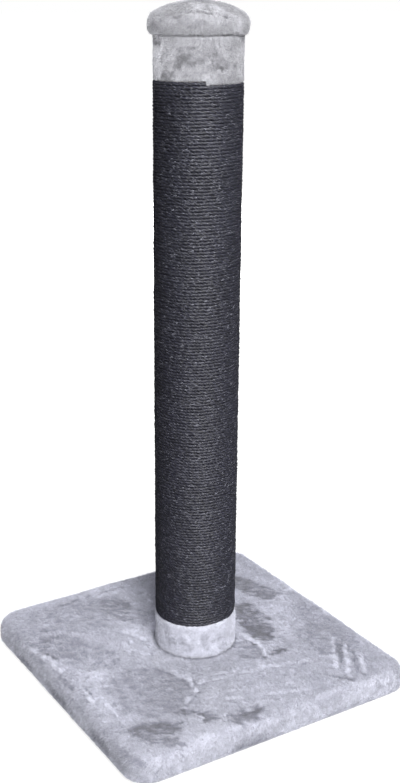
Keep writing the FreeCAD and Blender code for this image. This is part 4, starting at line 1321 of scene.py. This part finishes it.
def cap_profile(plush):
    """Section of the cap's cover: from the crown over the shoulder and rim to its hem, and back inside."""
    depth = plush.skin_depth * CAP_DEPTH_SHARE
    rim_radius, rim, crown = CAP_HIGH.x, CAP_RIM_HEIGHT, CAP_HIGH.z
    height = crown - rim
    middle = rim_radius - CAP_SHOULDER
    dome = (middle**2 + height**2 - CAP_SHOULDER**2) / (2 * (height - CAP_SHOULDER))
    joint = math.atan2(middle, dome - height)
    profile = [((dome - depth) * math.sin(angle), crown - dome + (dome - depth) * math.cos(angle))
               for angle in np.linspace(CROWN_START, joint, CROWN_RINGS)]
    profile += arc_profile((middle, rim), CAP_SHOULDER - depth, math.pi / 2 - joint, 0, SHOULDER_RINGS)[1:]
    drop = rim - CAP_LOW.z - CAP_HEM_LIFT
    inner = SLEEVE_HIGH.x - CAP_HEM_TUCK
    reach = rim_radius - depth - inner
    profile += [(inner + reach * math.cos(angle) ** CAP_HEM_BULGE, rim - drop * math.sin(angle))
                for angle in quarter_turn(RIM_RINGS)]
    board = CAP_BOARD_HIGH.x + SOFT_GAP
    under, over = CAP_BOARD_LOW.z - SOFT_GAP, CAP_BOARD_HIGH.z + SOFT_GAP
    profile += [(inner, under), (board, under), (board, over)]
    foam_rise = crown - depth - FOAM_DEPTH - CAP_BOARD_HIGH.z
    for step in range(1, FOAM_RINGS + 1):
        angle = step / FOAM_QUARTER_RINGS * math.pi / 2
        profile.append((board * math.cos(angle), over + foam_rise * math.sin(angle)))
    return profile


def swelling(profile):
    """How far the foam pushes the cap's cover out at each ring and step round, from a cloth simulation."""
    mesh = ring_mesh("cap_cloth", turned_rings(profile, CLOTH_STEPS), poles=True)
    before = coordinates(mesh)
    normals = vertex_normals(mesh)
    thing = new_object("cap_cloth", mesh, None)
    hem = thing.vertex_groups.new(name="hem")
    last = len(profile) * CLOTH_STEPS
    hem.add([*range(last - CLOTH_HELD_RINGS * CLOTH_STEPS, last), last + 1], 1.0, "REPLACE")
    cloth = thing.modifiers.new("Cloth", "CLOTH")
    cloth.settings.vertex_group_mass = "hem"
    cloth.settings.use_pressure = True
    cloth.settings.uniform_pressure_force = SWELL_PRESSURE
    cloth.settings.effector_weights.gravity = 0.0
    cloth.collision_settings.use_collision = False
    cloth.point_cache.frame_end = CLOTH_FRAMES
    scene = bpy.context.scene
    for step in range(1, CLOTH_FRAMES + 1):
        scene.frame_set(step)
    shown = thing.evaluated_get(bpy.context.evaluated_depsgraph_get())
    after = coordinates(shown.data)
    scene.frame_set(1)
    bpy.data.objects.remove(thing)
    pushed = np.clip(((after - before) * normals).sum(1), -SWELL_MOST, SWELL_MOST)
    out = pushed[:last].reshape(-1, CLOTH_STEPS)
    wrapped = np.hstack([out, out[:, :1]])
    steps = np.arange(BAND_STEPS) / BAND_STEPS * CLOTH_STEPS
    return np.array([np.interp(steps, np.arange(CLOTH_STEPS + 1), ring) for ring in wrapped])


class POST_OT_cap(bpy.types.Operator):
    """Make the padded cap: a plush dome with a crease, over foam"""

    bl_idname = "scratching_post.cap"
    bl_label = "Cap"

    def execute(self, context):
        plush, _, stage = settings()
        profile = cap_profile(plush)
        mesh = ring_mesh("plush_cap", turned_rings(profile, BAND_STEPS), poles=True)
        points = coordinates(mesh)
        normals = vertex_normals(mesh)
        outer, pole = CAP_OUTER_RINGS * BAND_STEPS, len(profile) * BAND_STEPS
        outside = np.zeros(len(points), bool)
        outside[:outer] = True
        outside[pole] = True
        pushed = np.zeros(len(points))
        pushed[:outer] = swelling(profile[:CAP_OUTER_RINGS]).ravel()
        pushed[pole] = pushed[:BAND_STEPS].mean()
        tone, relief = brush(mesh, points, CAP_STROKES, stage, CAP_WANDER, BAND_MARKS)
        tone += ripples(points, CAP_CLOUDS, CAP_SEED) + CAP_TONE
        # The cap's hem is paler: partly its pale tufts, partly painted light against the shade under it.
        tone += CAP_HEM_PALE_TUFTS_AND_LIGHT * fade(points[:, 2] - CAP_LOW.z - CAP_HEM_LIFT, CAP_HEM_FADE)
        swell = ripples(points, CAP_SWELL, CAP_SEED + 2)
        moved = points + normals * ((pushed + swell + relief) * outside)[:, None]
        put_coordinates(mesh, moved)
        out = outward(points)
        heading = ripples(points, CAP_HEADING, CAP_SEED + 4)[:, None]
        lean = np.cross((0, 0, 1), out) * np.sin(heading) + (out - (0, 0, 1)) * np.cos(heading)
        lean -= normals * (lean * normals).sum(1)[:, None]
        ring_of = np.minimum(np.arange(len(points)) // BAND_STEPS, len(profile) - 1)
        put_nap(mesh, tone, lean * BAND_LEAN, points[:, :2] * (1 + ring_of / CAP_FLAT_RINGS)[:, None])
        backing, material = plush_materials(upper=True)
        cap = new_object("plush_cap", mesh, backing)
        grow_pile("plush_cap_pile", cap, "cap_plush_cover", outside.astype(float), material,
                  plush.pile_length * CAP_PILE_SHARE, plush, CAP_SEED)
        foam_profile = [(CAP_BOARD_HIGH.x, CAP_BOARD_HIGH.z + FOAM_LIFT)]
        foam_profile += [(radius * FOAM_SHRINK_SHARE, height - FOAM_DROP)
                         for radius, height in profile[-FOAM_RINGS:]]
        foam_mesh = ring_mesh("cap_foam_dome", turned_rings(foam_profile, FOAM_STEPS), poles=True)
        dome = new_object("cap_foam_dome", foam_mesh, foam())
        for thing, node, slot in ((cap, "cap_plush_cover", "plush"), (dome, "cap_foam", "foam")):
            hand_over(thing, node)
        return {"FINISHED"}


# Rope

def put_rope_map(mesh, turn_length, first_length, turns):
    """Unroll the rope's surface turn by turn into a flat map, one row for each turn."""
    corners = corner_vertices(mesh)
    along, around = (np.empty(len(mesh.vertices), np.float32) for _ in range(2))
    mesh.attributes["rope_along"].data.foreach_get("value", along)
    mesh.attributes["rope_around"].data.foreach_get("value", around)
    starts, sizes = (np.empty(len(mesh.polygons), np.int32) for _ in range(2))
    mesh.polygons.foreach_get("loop_start", starts)
    mesh.polygons.foreach_get("loop_total", sizes)
    face_of = np.repeat(np.arange(len(starts)), sizes)
    turn = ((along - first_length) / turn_length)[corners]
    side = around[corners]
    low_turn = np.floor(np.minimum.reduceat(turn, starts) + TURN_SLACK)[face_of]
    wraps = (np.maximum.reduceat(side, starts) - np.minimum.reduceat(side, starts) > 0.5)[face_of]
    side = np.where(wraps & (side < 0.5), side + 1.0, side)
    places = np.column_stack([turn - low_turn, (low_turn + side) / math.ceil(turns + 1)])
    ends = (sizes > 4)[face_of]
    places[ends, 0] += END_MAP_SIZE * np.cos(side[ends] * math.tau)
    put_map(mesh, places)


def rope_tree():
    """Geometry tree: a three-strand rope wound round the post."""
    tree, start, end = new_group("Wound rope", "GeometryNodeTree", [
        ("Geometry", "NodeSocketGeometry", None), ("Turns", "NodeSocketFloat", 12.0),
        ("Pitch", "NodeSocketFloat", 5.5 * MM), ("Radius", "NodeSocketFloat", 72 * MM),
        ("Foot", "NodeSocketFloat", 0.1), ("Angle", "NodeSocketFloat", 0.0),
        ("First Length", "NodeSocketFloat", 0.0), ("Rope Radius", "NodeSocketFloat", 2.5 * MM),
        ("Lay", "NodeSocketFloat", 19 * MM), ("Rings", "NodeSocketInt", 160),
        ("Gap", "NodeSocketVector", None), ("Gap Reach", "NodeSocketFloat", 15 * MM),
        ("Unevenness", "NodeSocketFloat", 2.3 * MM), ("Material", "NodeSocketMaterial", None),
    ], [("Geometry", "NodeSocketGeometry")])
    given = start.outputs
    place = geometry_position(tree)
    climb = calculate(tree, "MULTIPLY", given["Turns"], given["Pitch"])
    spiral = add_node(tree, "GeometryNodeCurveSpiral", {
        "Resolution": given["Rings"], "Rotations": given["Turns"], "Start Radius": given["Radius"],
        "End Radius": given["Radius"], "Height": climb, "Reverse": True}).outputs[0]
    turned = add_node(tree, "GeometryNodeTransform", {
        "Geometry": spiral, "Translation": join_parts(tree, z=given["Foot"]),
        "Rotation": join_parts(tree, z=given["Angle"])}).outputs[0]

    passed = add_node(tree, "GeometryNodeSplineParameter").outputs["Length"]
    length = calculate(tree, "ADD", passed, given["First Length"])
    twist = calculate(tree, "MULTIPLY", calculate(tree, "DIVIDE", length, given["Lay"]), math.tau)
    drift = add_node(tree, "ShaderNodeTexNoise", {
        "W": calculate(tree, "MULTIPLY", length, TWIST_WAVES), "Scale": 1.0, "Detail": 1.0},
        noise_dimensions="1D").outputs["Fac"]
    twist = calculate(tree, "MULTIPLY_ADD", drift, TWIST_DRIFT, twist)
    marked = store(tree, turned, "rope_along", length)
    tilted = add_node(tree, "GeometryNodeSetCurveTilt", {"Curve": marked, "Tilt": twist}).outputs[0]
    upright = add_node(tree, "GeometryNodeSetCurveNormal", {"Curve": tilted}, mode="Z_UP").outputs[0]

    def waves(scale, detail):
        found = add_node(tree, "ShaderNodeTexNoise", {"Vector": place, "Scale": scale, "Detail": detail})
        return calculate_vector(tree, "SUBTRACT", found.outputs["Color"], (0.5, 0.5, 0.5))

    fine = calculate_vector(tree, "SCALE", waves(FINE_WANDER_SCALE, 1.0), FINE_WANDER_SHARE)
    shift = calculate_vector(tree, "ADD", waves(BROAD_WANDER_SCALE, 2.0), fine)
    shift = calculate_vector(tree, "SCALE", shift, given["Unevenness"])
    from_gap = calculate_vector(tree, "SUBTRACT", place, given["Gap"])
    near = calculate(tree, "DIVIDE", calculate_vector(tree, "LENGTH", from_gap), given["Gap Reach"])
    near = calculate(tree, "POWER", spread(tree, near, 0.0, 1.0, 1.0, 0.0), 2.0)
    above = calculate(tree, "DIVIDE", split_parts(tree, from_gap)["Z"], given["Pitch"])
    away = calculate(tree, "MULTIPLY", spread(tree, above, -0.3, 0.3, -1.0, 1.0), near)
    parted = calculate(tree, "MULTIPLY", away, calculate(tree, "MULTIPLY", given["Pitch"], GAP_SHARE))
    shift = calculate_vector(tree, "ADD", shift, join_parts(tree, z=parted))
    uneven = add_node(tree, "GeometryNodeSetPosition", {"Geometry": upright, "Offset": shift}).outputs[0]

    circle = add_node(tree, "GeometryNodeCurvePrimitiveCircle", {
        "Resolution": ROPE_SIDES, "Radius": given["Rope Radius"]}, mode="RADIUS").outputs["Curve"]
    number = add_node(tree, "GeometryNodeInputIndex").outputs[0]
    valley = calculate(tree, "MINIMUM", calculate(tree, "MODULO", number, 3.0), 1.0)
    shrink = calculate(tree, "MULTIPLY_ADD", valley, -VALLEY_SHARE, 1.0)
    section = store(tree, circle, "rope_section", calculate_vector(tree, "NORMALIZE", place), "FLOAT_VECTOR")
    lobed = add_node(tree, "GeometryNodeSetPosition", {
        "Geometry": section, "Position": calculate_vector(tree, "SCALE", place, shrink)}).outputs[0]
    lobed = store(tree, lobed, "rope_around", calculate(tree, "DIVIDE", number, float(ROPE_SIDES)))
    tube = add_node(tree, "GeometryNodeCurveToMesh", {
        "Curve": uneven, "Profile Curve": lobed, "Fill Caps": True}).outputs[0]
    smooth = add_node(tree, "GeometryNodeSetShadeSmooth", {"Geometry": tube}).outputs[0]
    end_tree(tree, end, smooth, given["Material"])
    return tree


def fibre_template():
    """One stray fibre: a bowed strip, one unit long, wide and high."""
    steps = np.linspace(-0.5, 0.5, 5)
    points = [(step, side, 1 - (2 * step) ** 2) for step in steps for side in (-0.5, 0.5)]
    mesh = bpy.data.meshes.new("fibre_template")
    mesh.from_pydata(points, [], [(2 * i, 2 * i + 2, 2 * i + 3, 2 * i + 1) for i in range(4)])
    return new_object("fibre_template", mesh, None)


def fibre_tree():
    """Geometry tree: stray fibres that lie along the turns of the rope."""
    tree, start, end = new_group("Stray fibres", "GeometryNodeTree", [
        ("Geometry", "NodeSocketGeometry", None), ("Fibre", "NodeSocketObject", None),
        ("Density", "NodeSocketFloat", 1e4), ("Shortest", "NodeSocketFloat", 3 * MM),
        ("Longest", "NodeSocketFloat", 15 * MM), ("Width", "NodeSocketFloat", 0.38 * MM),
        ("Slant", "NodeSocketFloat", 0.55), ("Seed", "NodeSocketInt", 1),
        ("Material", "NodeSocketMaterial", None),
    ], [("Geometry", "NodeSocketGeometry")])
    given = start.outputs

    def draw(low, high, step):
        return draw_number(tree, low, high, calculate(tree, "ADD", given["Seed"], float(step)))

    points, normal = scatter_points(tree, given["Geometry"], given["Density"], given["Seed"])
    slant = calculate(tree, "MULTIPLY", draw(-1.0, 1.0, 1), given["Slant"])
    tangent = calculate_vector(tree, "CROSS_PRODUCT", (0, 0, 1), normal)
    heading = calculate_vector(tree, "ADD", tangent, join_parts(tree, z=slant))
    chance = calculate(tree, "POWER", draw(0.0, 1.0, 2), 3.0)
    length = spread(tree, chance, 0.0, 1.0, given["Shortest"], given["Longest"])
    width = calculate(tree, "MULTIPLY", given["Width"], spread(tree, chance, 0.0, 0.6, 1.0, 0.4))
    bow = calculate(tree, "MULTIPLY", length, draw(0.02, 0.16, 3))
    laid = plant(tree, points, given["Fibre"], turn_to(tree, normal, heading, "X"),
                 join_parts(tree, x=length, y=width, z=bow))
    end_tree(tree, end, laid, given["Material"])
    return tree


class POST_OT_rope(bpy.types.Operator):
    """Wind the sisal rope round the post, from the collar to the sleeve, with its stray fibres"""

    bl_idname = "scratching_post.rope"
    bl_label = "Rope"

    def execute(self, context):
        _, rope, stage = settings()
        tree = rope_tree()
        material, loose = sisal(rope), loose_sisal(rope)
        radius = TUBE_HIGH.x + SOFT_GAP + rope.diameter / 2
        outer = radius + rope.diameter / 2
        guide = ring_mesh("stray_fibres", turned_rings([
            (outer, COLLAR_HIGH.z + COLLAR_MARGIN), (outer, SLEEVE_LOW.z - SLEEVE_MARGIN)], GUIDE_STEPS))
        surface = surface_of(guide, coordinates(guide))
        gap = surface.ray_cast(*ray_through(ROPE_GAP_PIXEL, stage))[0]
        first_length = 0.0
        for name, node, foot, turns, pitch, angle in self.stretches(rope):
            thing = new_object(name, bpy.data.meshes.new(name), None)
            use_tree(thing, tree, turns=float(turns), pitch=pitch, radius=radius, foot=foot, angle=angle,
                     first_length=first_length, rope_radius=rope.diameter / 2 * ROPE_FULLNESS,
                     lay=rope.lay_length, rings=rope.rings, gap=gap, material=material)
            mesh = as_plain_mesh(thing, material)
            turn_length = math.hypot(math.tau * radius, pitch)
            put_rope_map(mesh, turn_length, first_length, turns)
            mesh.attributes.remove(mesh.attributes["rope_around"])
            first_length += turns * turn_length
            hand_over(thing, node)
        for thing in (self.stray_fibres(guide, rope, loose), self.pulled_fibre(surface, stage, loose)):
            hand_over(thing, "rope_middle_turns")
        return {"FINISHED"}

    def stretches(self, rope):
        """The rope's stretches: name, node, height of the foot, turns, pitch, and angle at the start."""
        lower_foot = LOWER_TURNS_LOW.z + rope.diameter / 2
        upper_foot = UPPER_TURNS_HIGH.z - rope.diameter / 2 - rope.end_turns * rope.pitch
        lower_head = lower_foot + rope.end_turns * rope.pitch
        middle_turns = round((upper_foot - lower_head) / rope.pitch)
        middle_pitch = (upper_foot - lower_head) / middle_turns
        found = [("rope_lower_end", "rope_lower_turns", lower_foot - rope.pitch / 2, rope.end_turns + 0.5,
                  rope.pitch, ROPE_END_ANGLE - math.pi)]
        done = 0
        for step in range(rope.middle_stretches):
            turns = (step + 1) * middle_turns // rope.middle_stretches - done
            found.append((f"rope_middle_{step + 1}", "rope_middle_turns", lower_head + done * middle_pitch,
                          turns, middle_pitch, ROPE_END_ANGLE))
            done += turns
        found.append(("rope_upper_end", "rope_upper_turns", upper_foot, rope.end_turns, rope.pitch,
                      ROPE_END_ANGLE))
        return found

    def stray_fibres(self, guide, rope, material):
        """Fibres that stand out of the rope."""
        template = fibre_template()
        area = sum(face.area for face in guide.polygons)
        stray = new_object("stray_fibres", guide, material)
        use_tree(stray, fibre_tree(), fibre=template, density=rope.stray_fibres / area, seed=rope.seed,
                 material=material)
        mesh = as_plain_mesh(stray, material)
        bpy.data.objects.remove(template)
        points = coordinates(mesh)
        angle = helix_share(points, ROPE_END_ANGLE + math.pi)
        put_map(mesh, np.column_stack([angle, points[:, 2]]), corner_vertices(mesh))
        return stray

    def pulled_fibre(self, surface, stage, material):
        """One long loop of fibre that a claw has pulled out of the rope."""
        curve = bpy.data.curves.new("pulled_fibre", "CURVE")
        curve.dimensions = "3D"
        curve.bevel_depth = PULLED_FIBRE_RADIUS
        curve.bevel_resolution = 1
        spline = curve.splines.new("NURBS")
        spline.points.add(len(PULLED_FIBRE) - 1)
        for point, (pixel, stand_off_mm) in zip(spline.points, PULLED_FIBRE):
            hit = surface.ray_cast(*ray_through(pixel, stage))[0]
            out = Vector((hit.x, hit.y, 0)).normalized()
            point.co = (*(hit + out * (stand_off_mm * MM)), 1)
        spline.order_u = 3
        spline.use_endpoint_u = True
        drawn = bpy.data.objects.new("pulled_fibre_line", curve)
        bpy.context.scene.collection.objects.link(drawn)
        shape = bpy.data.meshes.new_from_object(drawn.evaluated_get(bpy.context.evaluated_depsgraph_get()))
        bpy.data.objects.remove(drawn)
        return new_object("pulled_fibre", shape, material)


# Finishes

FINISHES = {
    "chipboard": ("base_lower_board", "base_upper_board"),
    "fibreboard": ("bottom_plug", "top_plug", "cap_board"),
    "cardboard": ("post_tube",),
    "rubber": ("rubber_foot_front_left", "rubber_foot_front_right", "rubber_foot_rear_left",
               "rubber_foot_rear_right"),
    "zinc": ("board_screws", "cover_staples", "foot_screws", "post_bolt", "bolt_washer", "bottom_tee_nut",
             "bottom_plug_screws", "top_plug_screws", "cap_screws", "cap_staples"),
}


class POST_OT_finishes(bpy.types.Operator):
    """Give boards, tube, plugs, feet and fasteners their finishes"""

    bl_idname = "scratching_post.finishes"
    bl_label = "Finishes"

    def execute(self, context):
        made = {
            "chipboard": pressed_board(
                "Chipboard", (0.62, 0.48, 0.31), (0.36, 0.25, 0.14), 160.0, 0.4 * MM),
            "fibreboard": pressed_board(
                "Fibreboard", (0.46, 0.32, 0.20), (0.30, 0.20, 0.12), 600.0, 0.1 * MM),
            "cardboard": cardboard(),
            "rubber": rubber(),
            "zinc": zinc_steel(),
        }
        for finish, nodes in FINISHES.items():
            for node in nodes:
                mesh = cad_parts[node].data
                mesh.materials.clear()
                mesh.materials.append(made[finish])
        return {"FINISHED"}


# Stage

def add_softbox(name, place, target, size, power, beam):
    """A square area light that faces a point, with a grid where its beam is narrow."""
    light = bpy.data.lights.new(name, "AREA")
    light.shape = "SQUARE"
    light.size = size
    light.energy = power
    light.spread = beam
    thing = bpy.data.objects.new(name, light)
    thing.visible_camera = False
    thing.location = place
    thing.rotation_euler = (target - place).to_track_quat("-Z", "Y").to_euler()
    bpy.context.scene.collection.objects.link(thing)


class POST_OT_stage(bpy.types.Operator):
    """Set up the floor, the light and the camera"""

    bl_idname = "scratching_post.stage"
    bl_label = "Stage"

    def execute(self, context):
        _, _, stage = settings()
        scene = context.scene
        place, right, up, forward = camera_frame(stage)
        camera = bpy.data.cameras.new("camera")
        camera.sensor_width = SENSOR_WIDTH_MM
        camera.lens = SENSOR_WIDTH_MM * stage.focal_pixels / max(IMAGE_SIZE)
        thing = bpy.data.objects.new("camera", camera)
        axes = Matrix((right, up, -forward)).transposed()
        thing.matrix_world = Matrix.Translation(place) @ axes.to_4x4()
        scene.collection.objects.link(thing)
        scene.camera = thing

        around = Matrix.Rotation(-stage.camera_turn, 3, "Z")
        middle, sleeve = Vector((0, 0, FACED_HEIGHT)), Vector((0, 0, FACED_SLEEVE_HEIGHT))
        for name, (place, size), target, power, beam in (
                ("key_softbox", KEY_BOX, middle, stage.key_power, math.pi),
                ("top_softbox", TOP_BOX, middle, stage.top_power, math.pi),
                ("sleeve_softbox", SLEEVE_BOX, sleeve, stage.sleeve_power, SLEEVE_BEAM),
                ("back_softbox", BACK_BOX, middle, stage.back_power, math.pi)):
            add_softbox(name, around @ Vector(place), target, size, power, beam)

        mesh = bpy.data.meshes.new("floor")
        corners = [(x * FLOOR_REACH, y * FLOOR_REACH, 0) for x, y in ((-1, -1), (1, -1), (1, 1), (-1, 1))]
        mesh.from_pydata(corners, [], [(0, 1, 2, 3)])
        floor = new_object("floor", mesh, self.floor_material(stage))

        world = bpy.data.worlds.new("studio")
        world.use_nodes = True
        tree = world.node_tree
        set_sockets(tree, tree.nodes["Background"], {
            "Color": (1, 1, 1, 1), "Strength": spread(tree, camera_ray(tree), 0.0, 1.0, stage.sky, 1.0)})
        scene.world = world
        scene.view_settings.view_transform = "Standard"
        return {"FINISHED"}

    def floor_material(self, stage):
        """White paper that glows for the camera, more so far from the post, and shows only soft shadows."""
        material, tree, shader = new_material("Paper floor")
        patches, _ = mottled(tree, 2.0, 40.0)
        faint = spread(tree, patches, 0.3, 0.7, 0.0, 0.1)
        glow = spread(tree, calculate_vector(tree, "LENGTH", own_place(tree)), 0.6, 2.5, 0.82, 1.0)
        set_sockets(tree, shader, {
            "Base Color": blend_colours(tree, faint, opaque(stage.floor_colour), (1, 1, 1, 1)),
            "Roughness": 0.9, "Specular IOR Level": 0.0, "Emission Color": (1, 1, 1, 1),
            "Emission Strength": calculate(tree, "MULTIPLY", camera_ray(tree), glow)})
        return material


OPERATORS = (POST_OT_base_cover, POST_OT_bands, POST_OT_cap, POST_OT_rope, POST_OT_finishes, POST_OT_stage)


class POST_PT_panel(bpy.types.Panel):
    """Lists the steps that dress the post"""

    bl_idname = "POST_PT_panel"
    bl_label = "Scratching post"
    bl_space_type = "VIEW_3D"
    bl_region_type = "UI"
    bl_category = "Scratching post"

    def draw(self, context):
        for operator in OPERATORS:
            self.layout.operator(operator.bl_idname)
        for group in settings():
            box = self.layout.box()
            for name in group.__annotations__:
                box.prop(group, name)


GROUPS = (("post_plush", PlushSettings), ("post_rope", RopeSettings), ("post_stage", StageSettings))


def register():
    for name, group in GROUPS:
        bpy.utils.register_class(group)
        setattr(bpy.types.Scene, name, PointerProperty(type=group))
    for listed in (*OPERATORS, POST_PT_panel):
        bpy.utils.register_class(listed)


def unregister():
    for listed in reversed((*OPERATORS, POST_PT_panel)):
        bpy.utils.unregister_class(listed)
    for name, group in reversed(GROUPS):
        delattr(bpy.types.Scene, name)
        bpy.utils.unregister_class(group)


def main():
    register()
    for operator in OPERATORS:
        part, name = operator.bl_idname.split(".")
        getattr(getattr(bpy.ops, part), name)()
    template = bpy.data.objects.get("tuft_template")
    if template is not None:
        bpy.data.objects.remove(template)


if __name__ == "__main__":
    main()
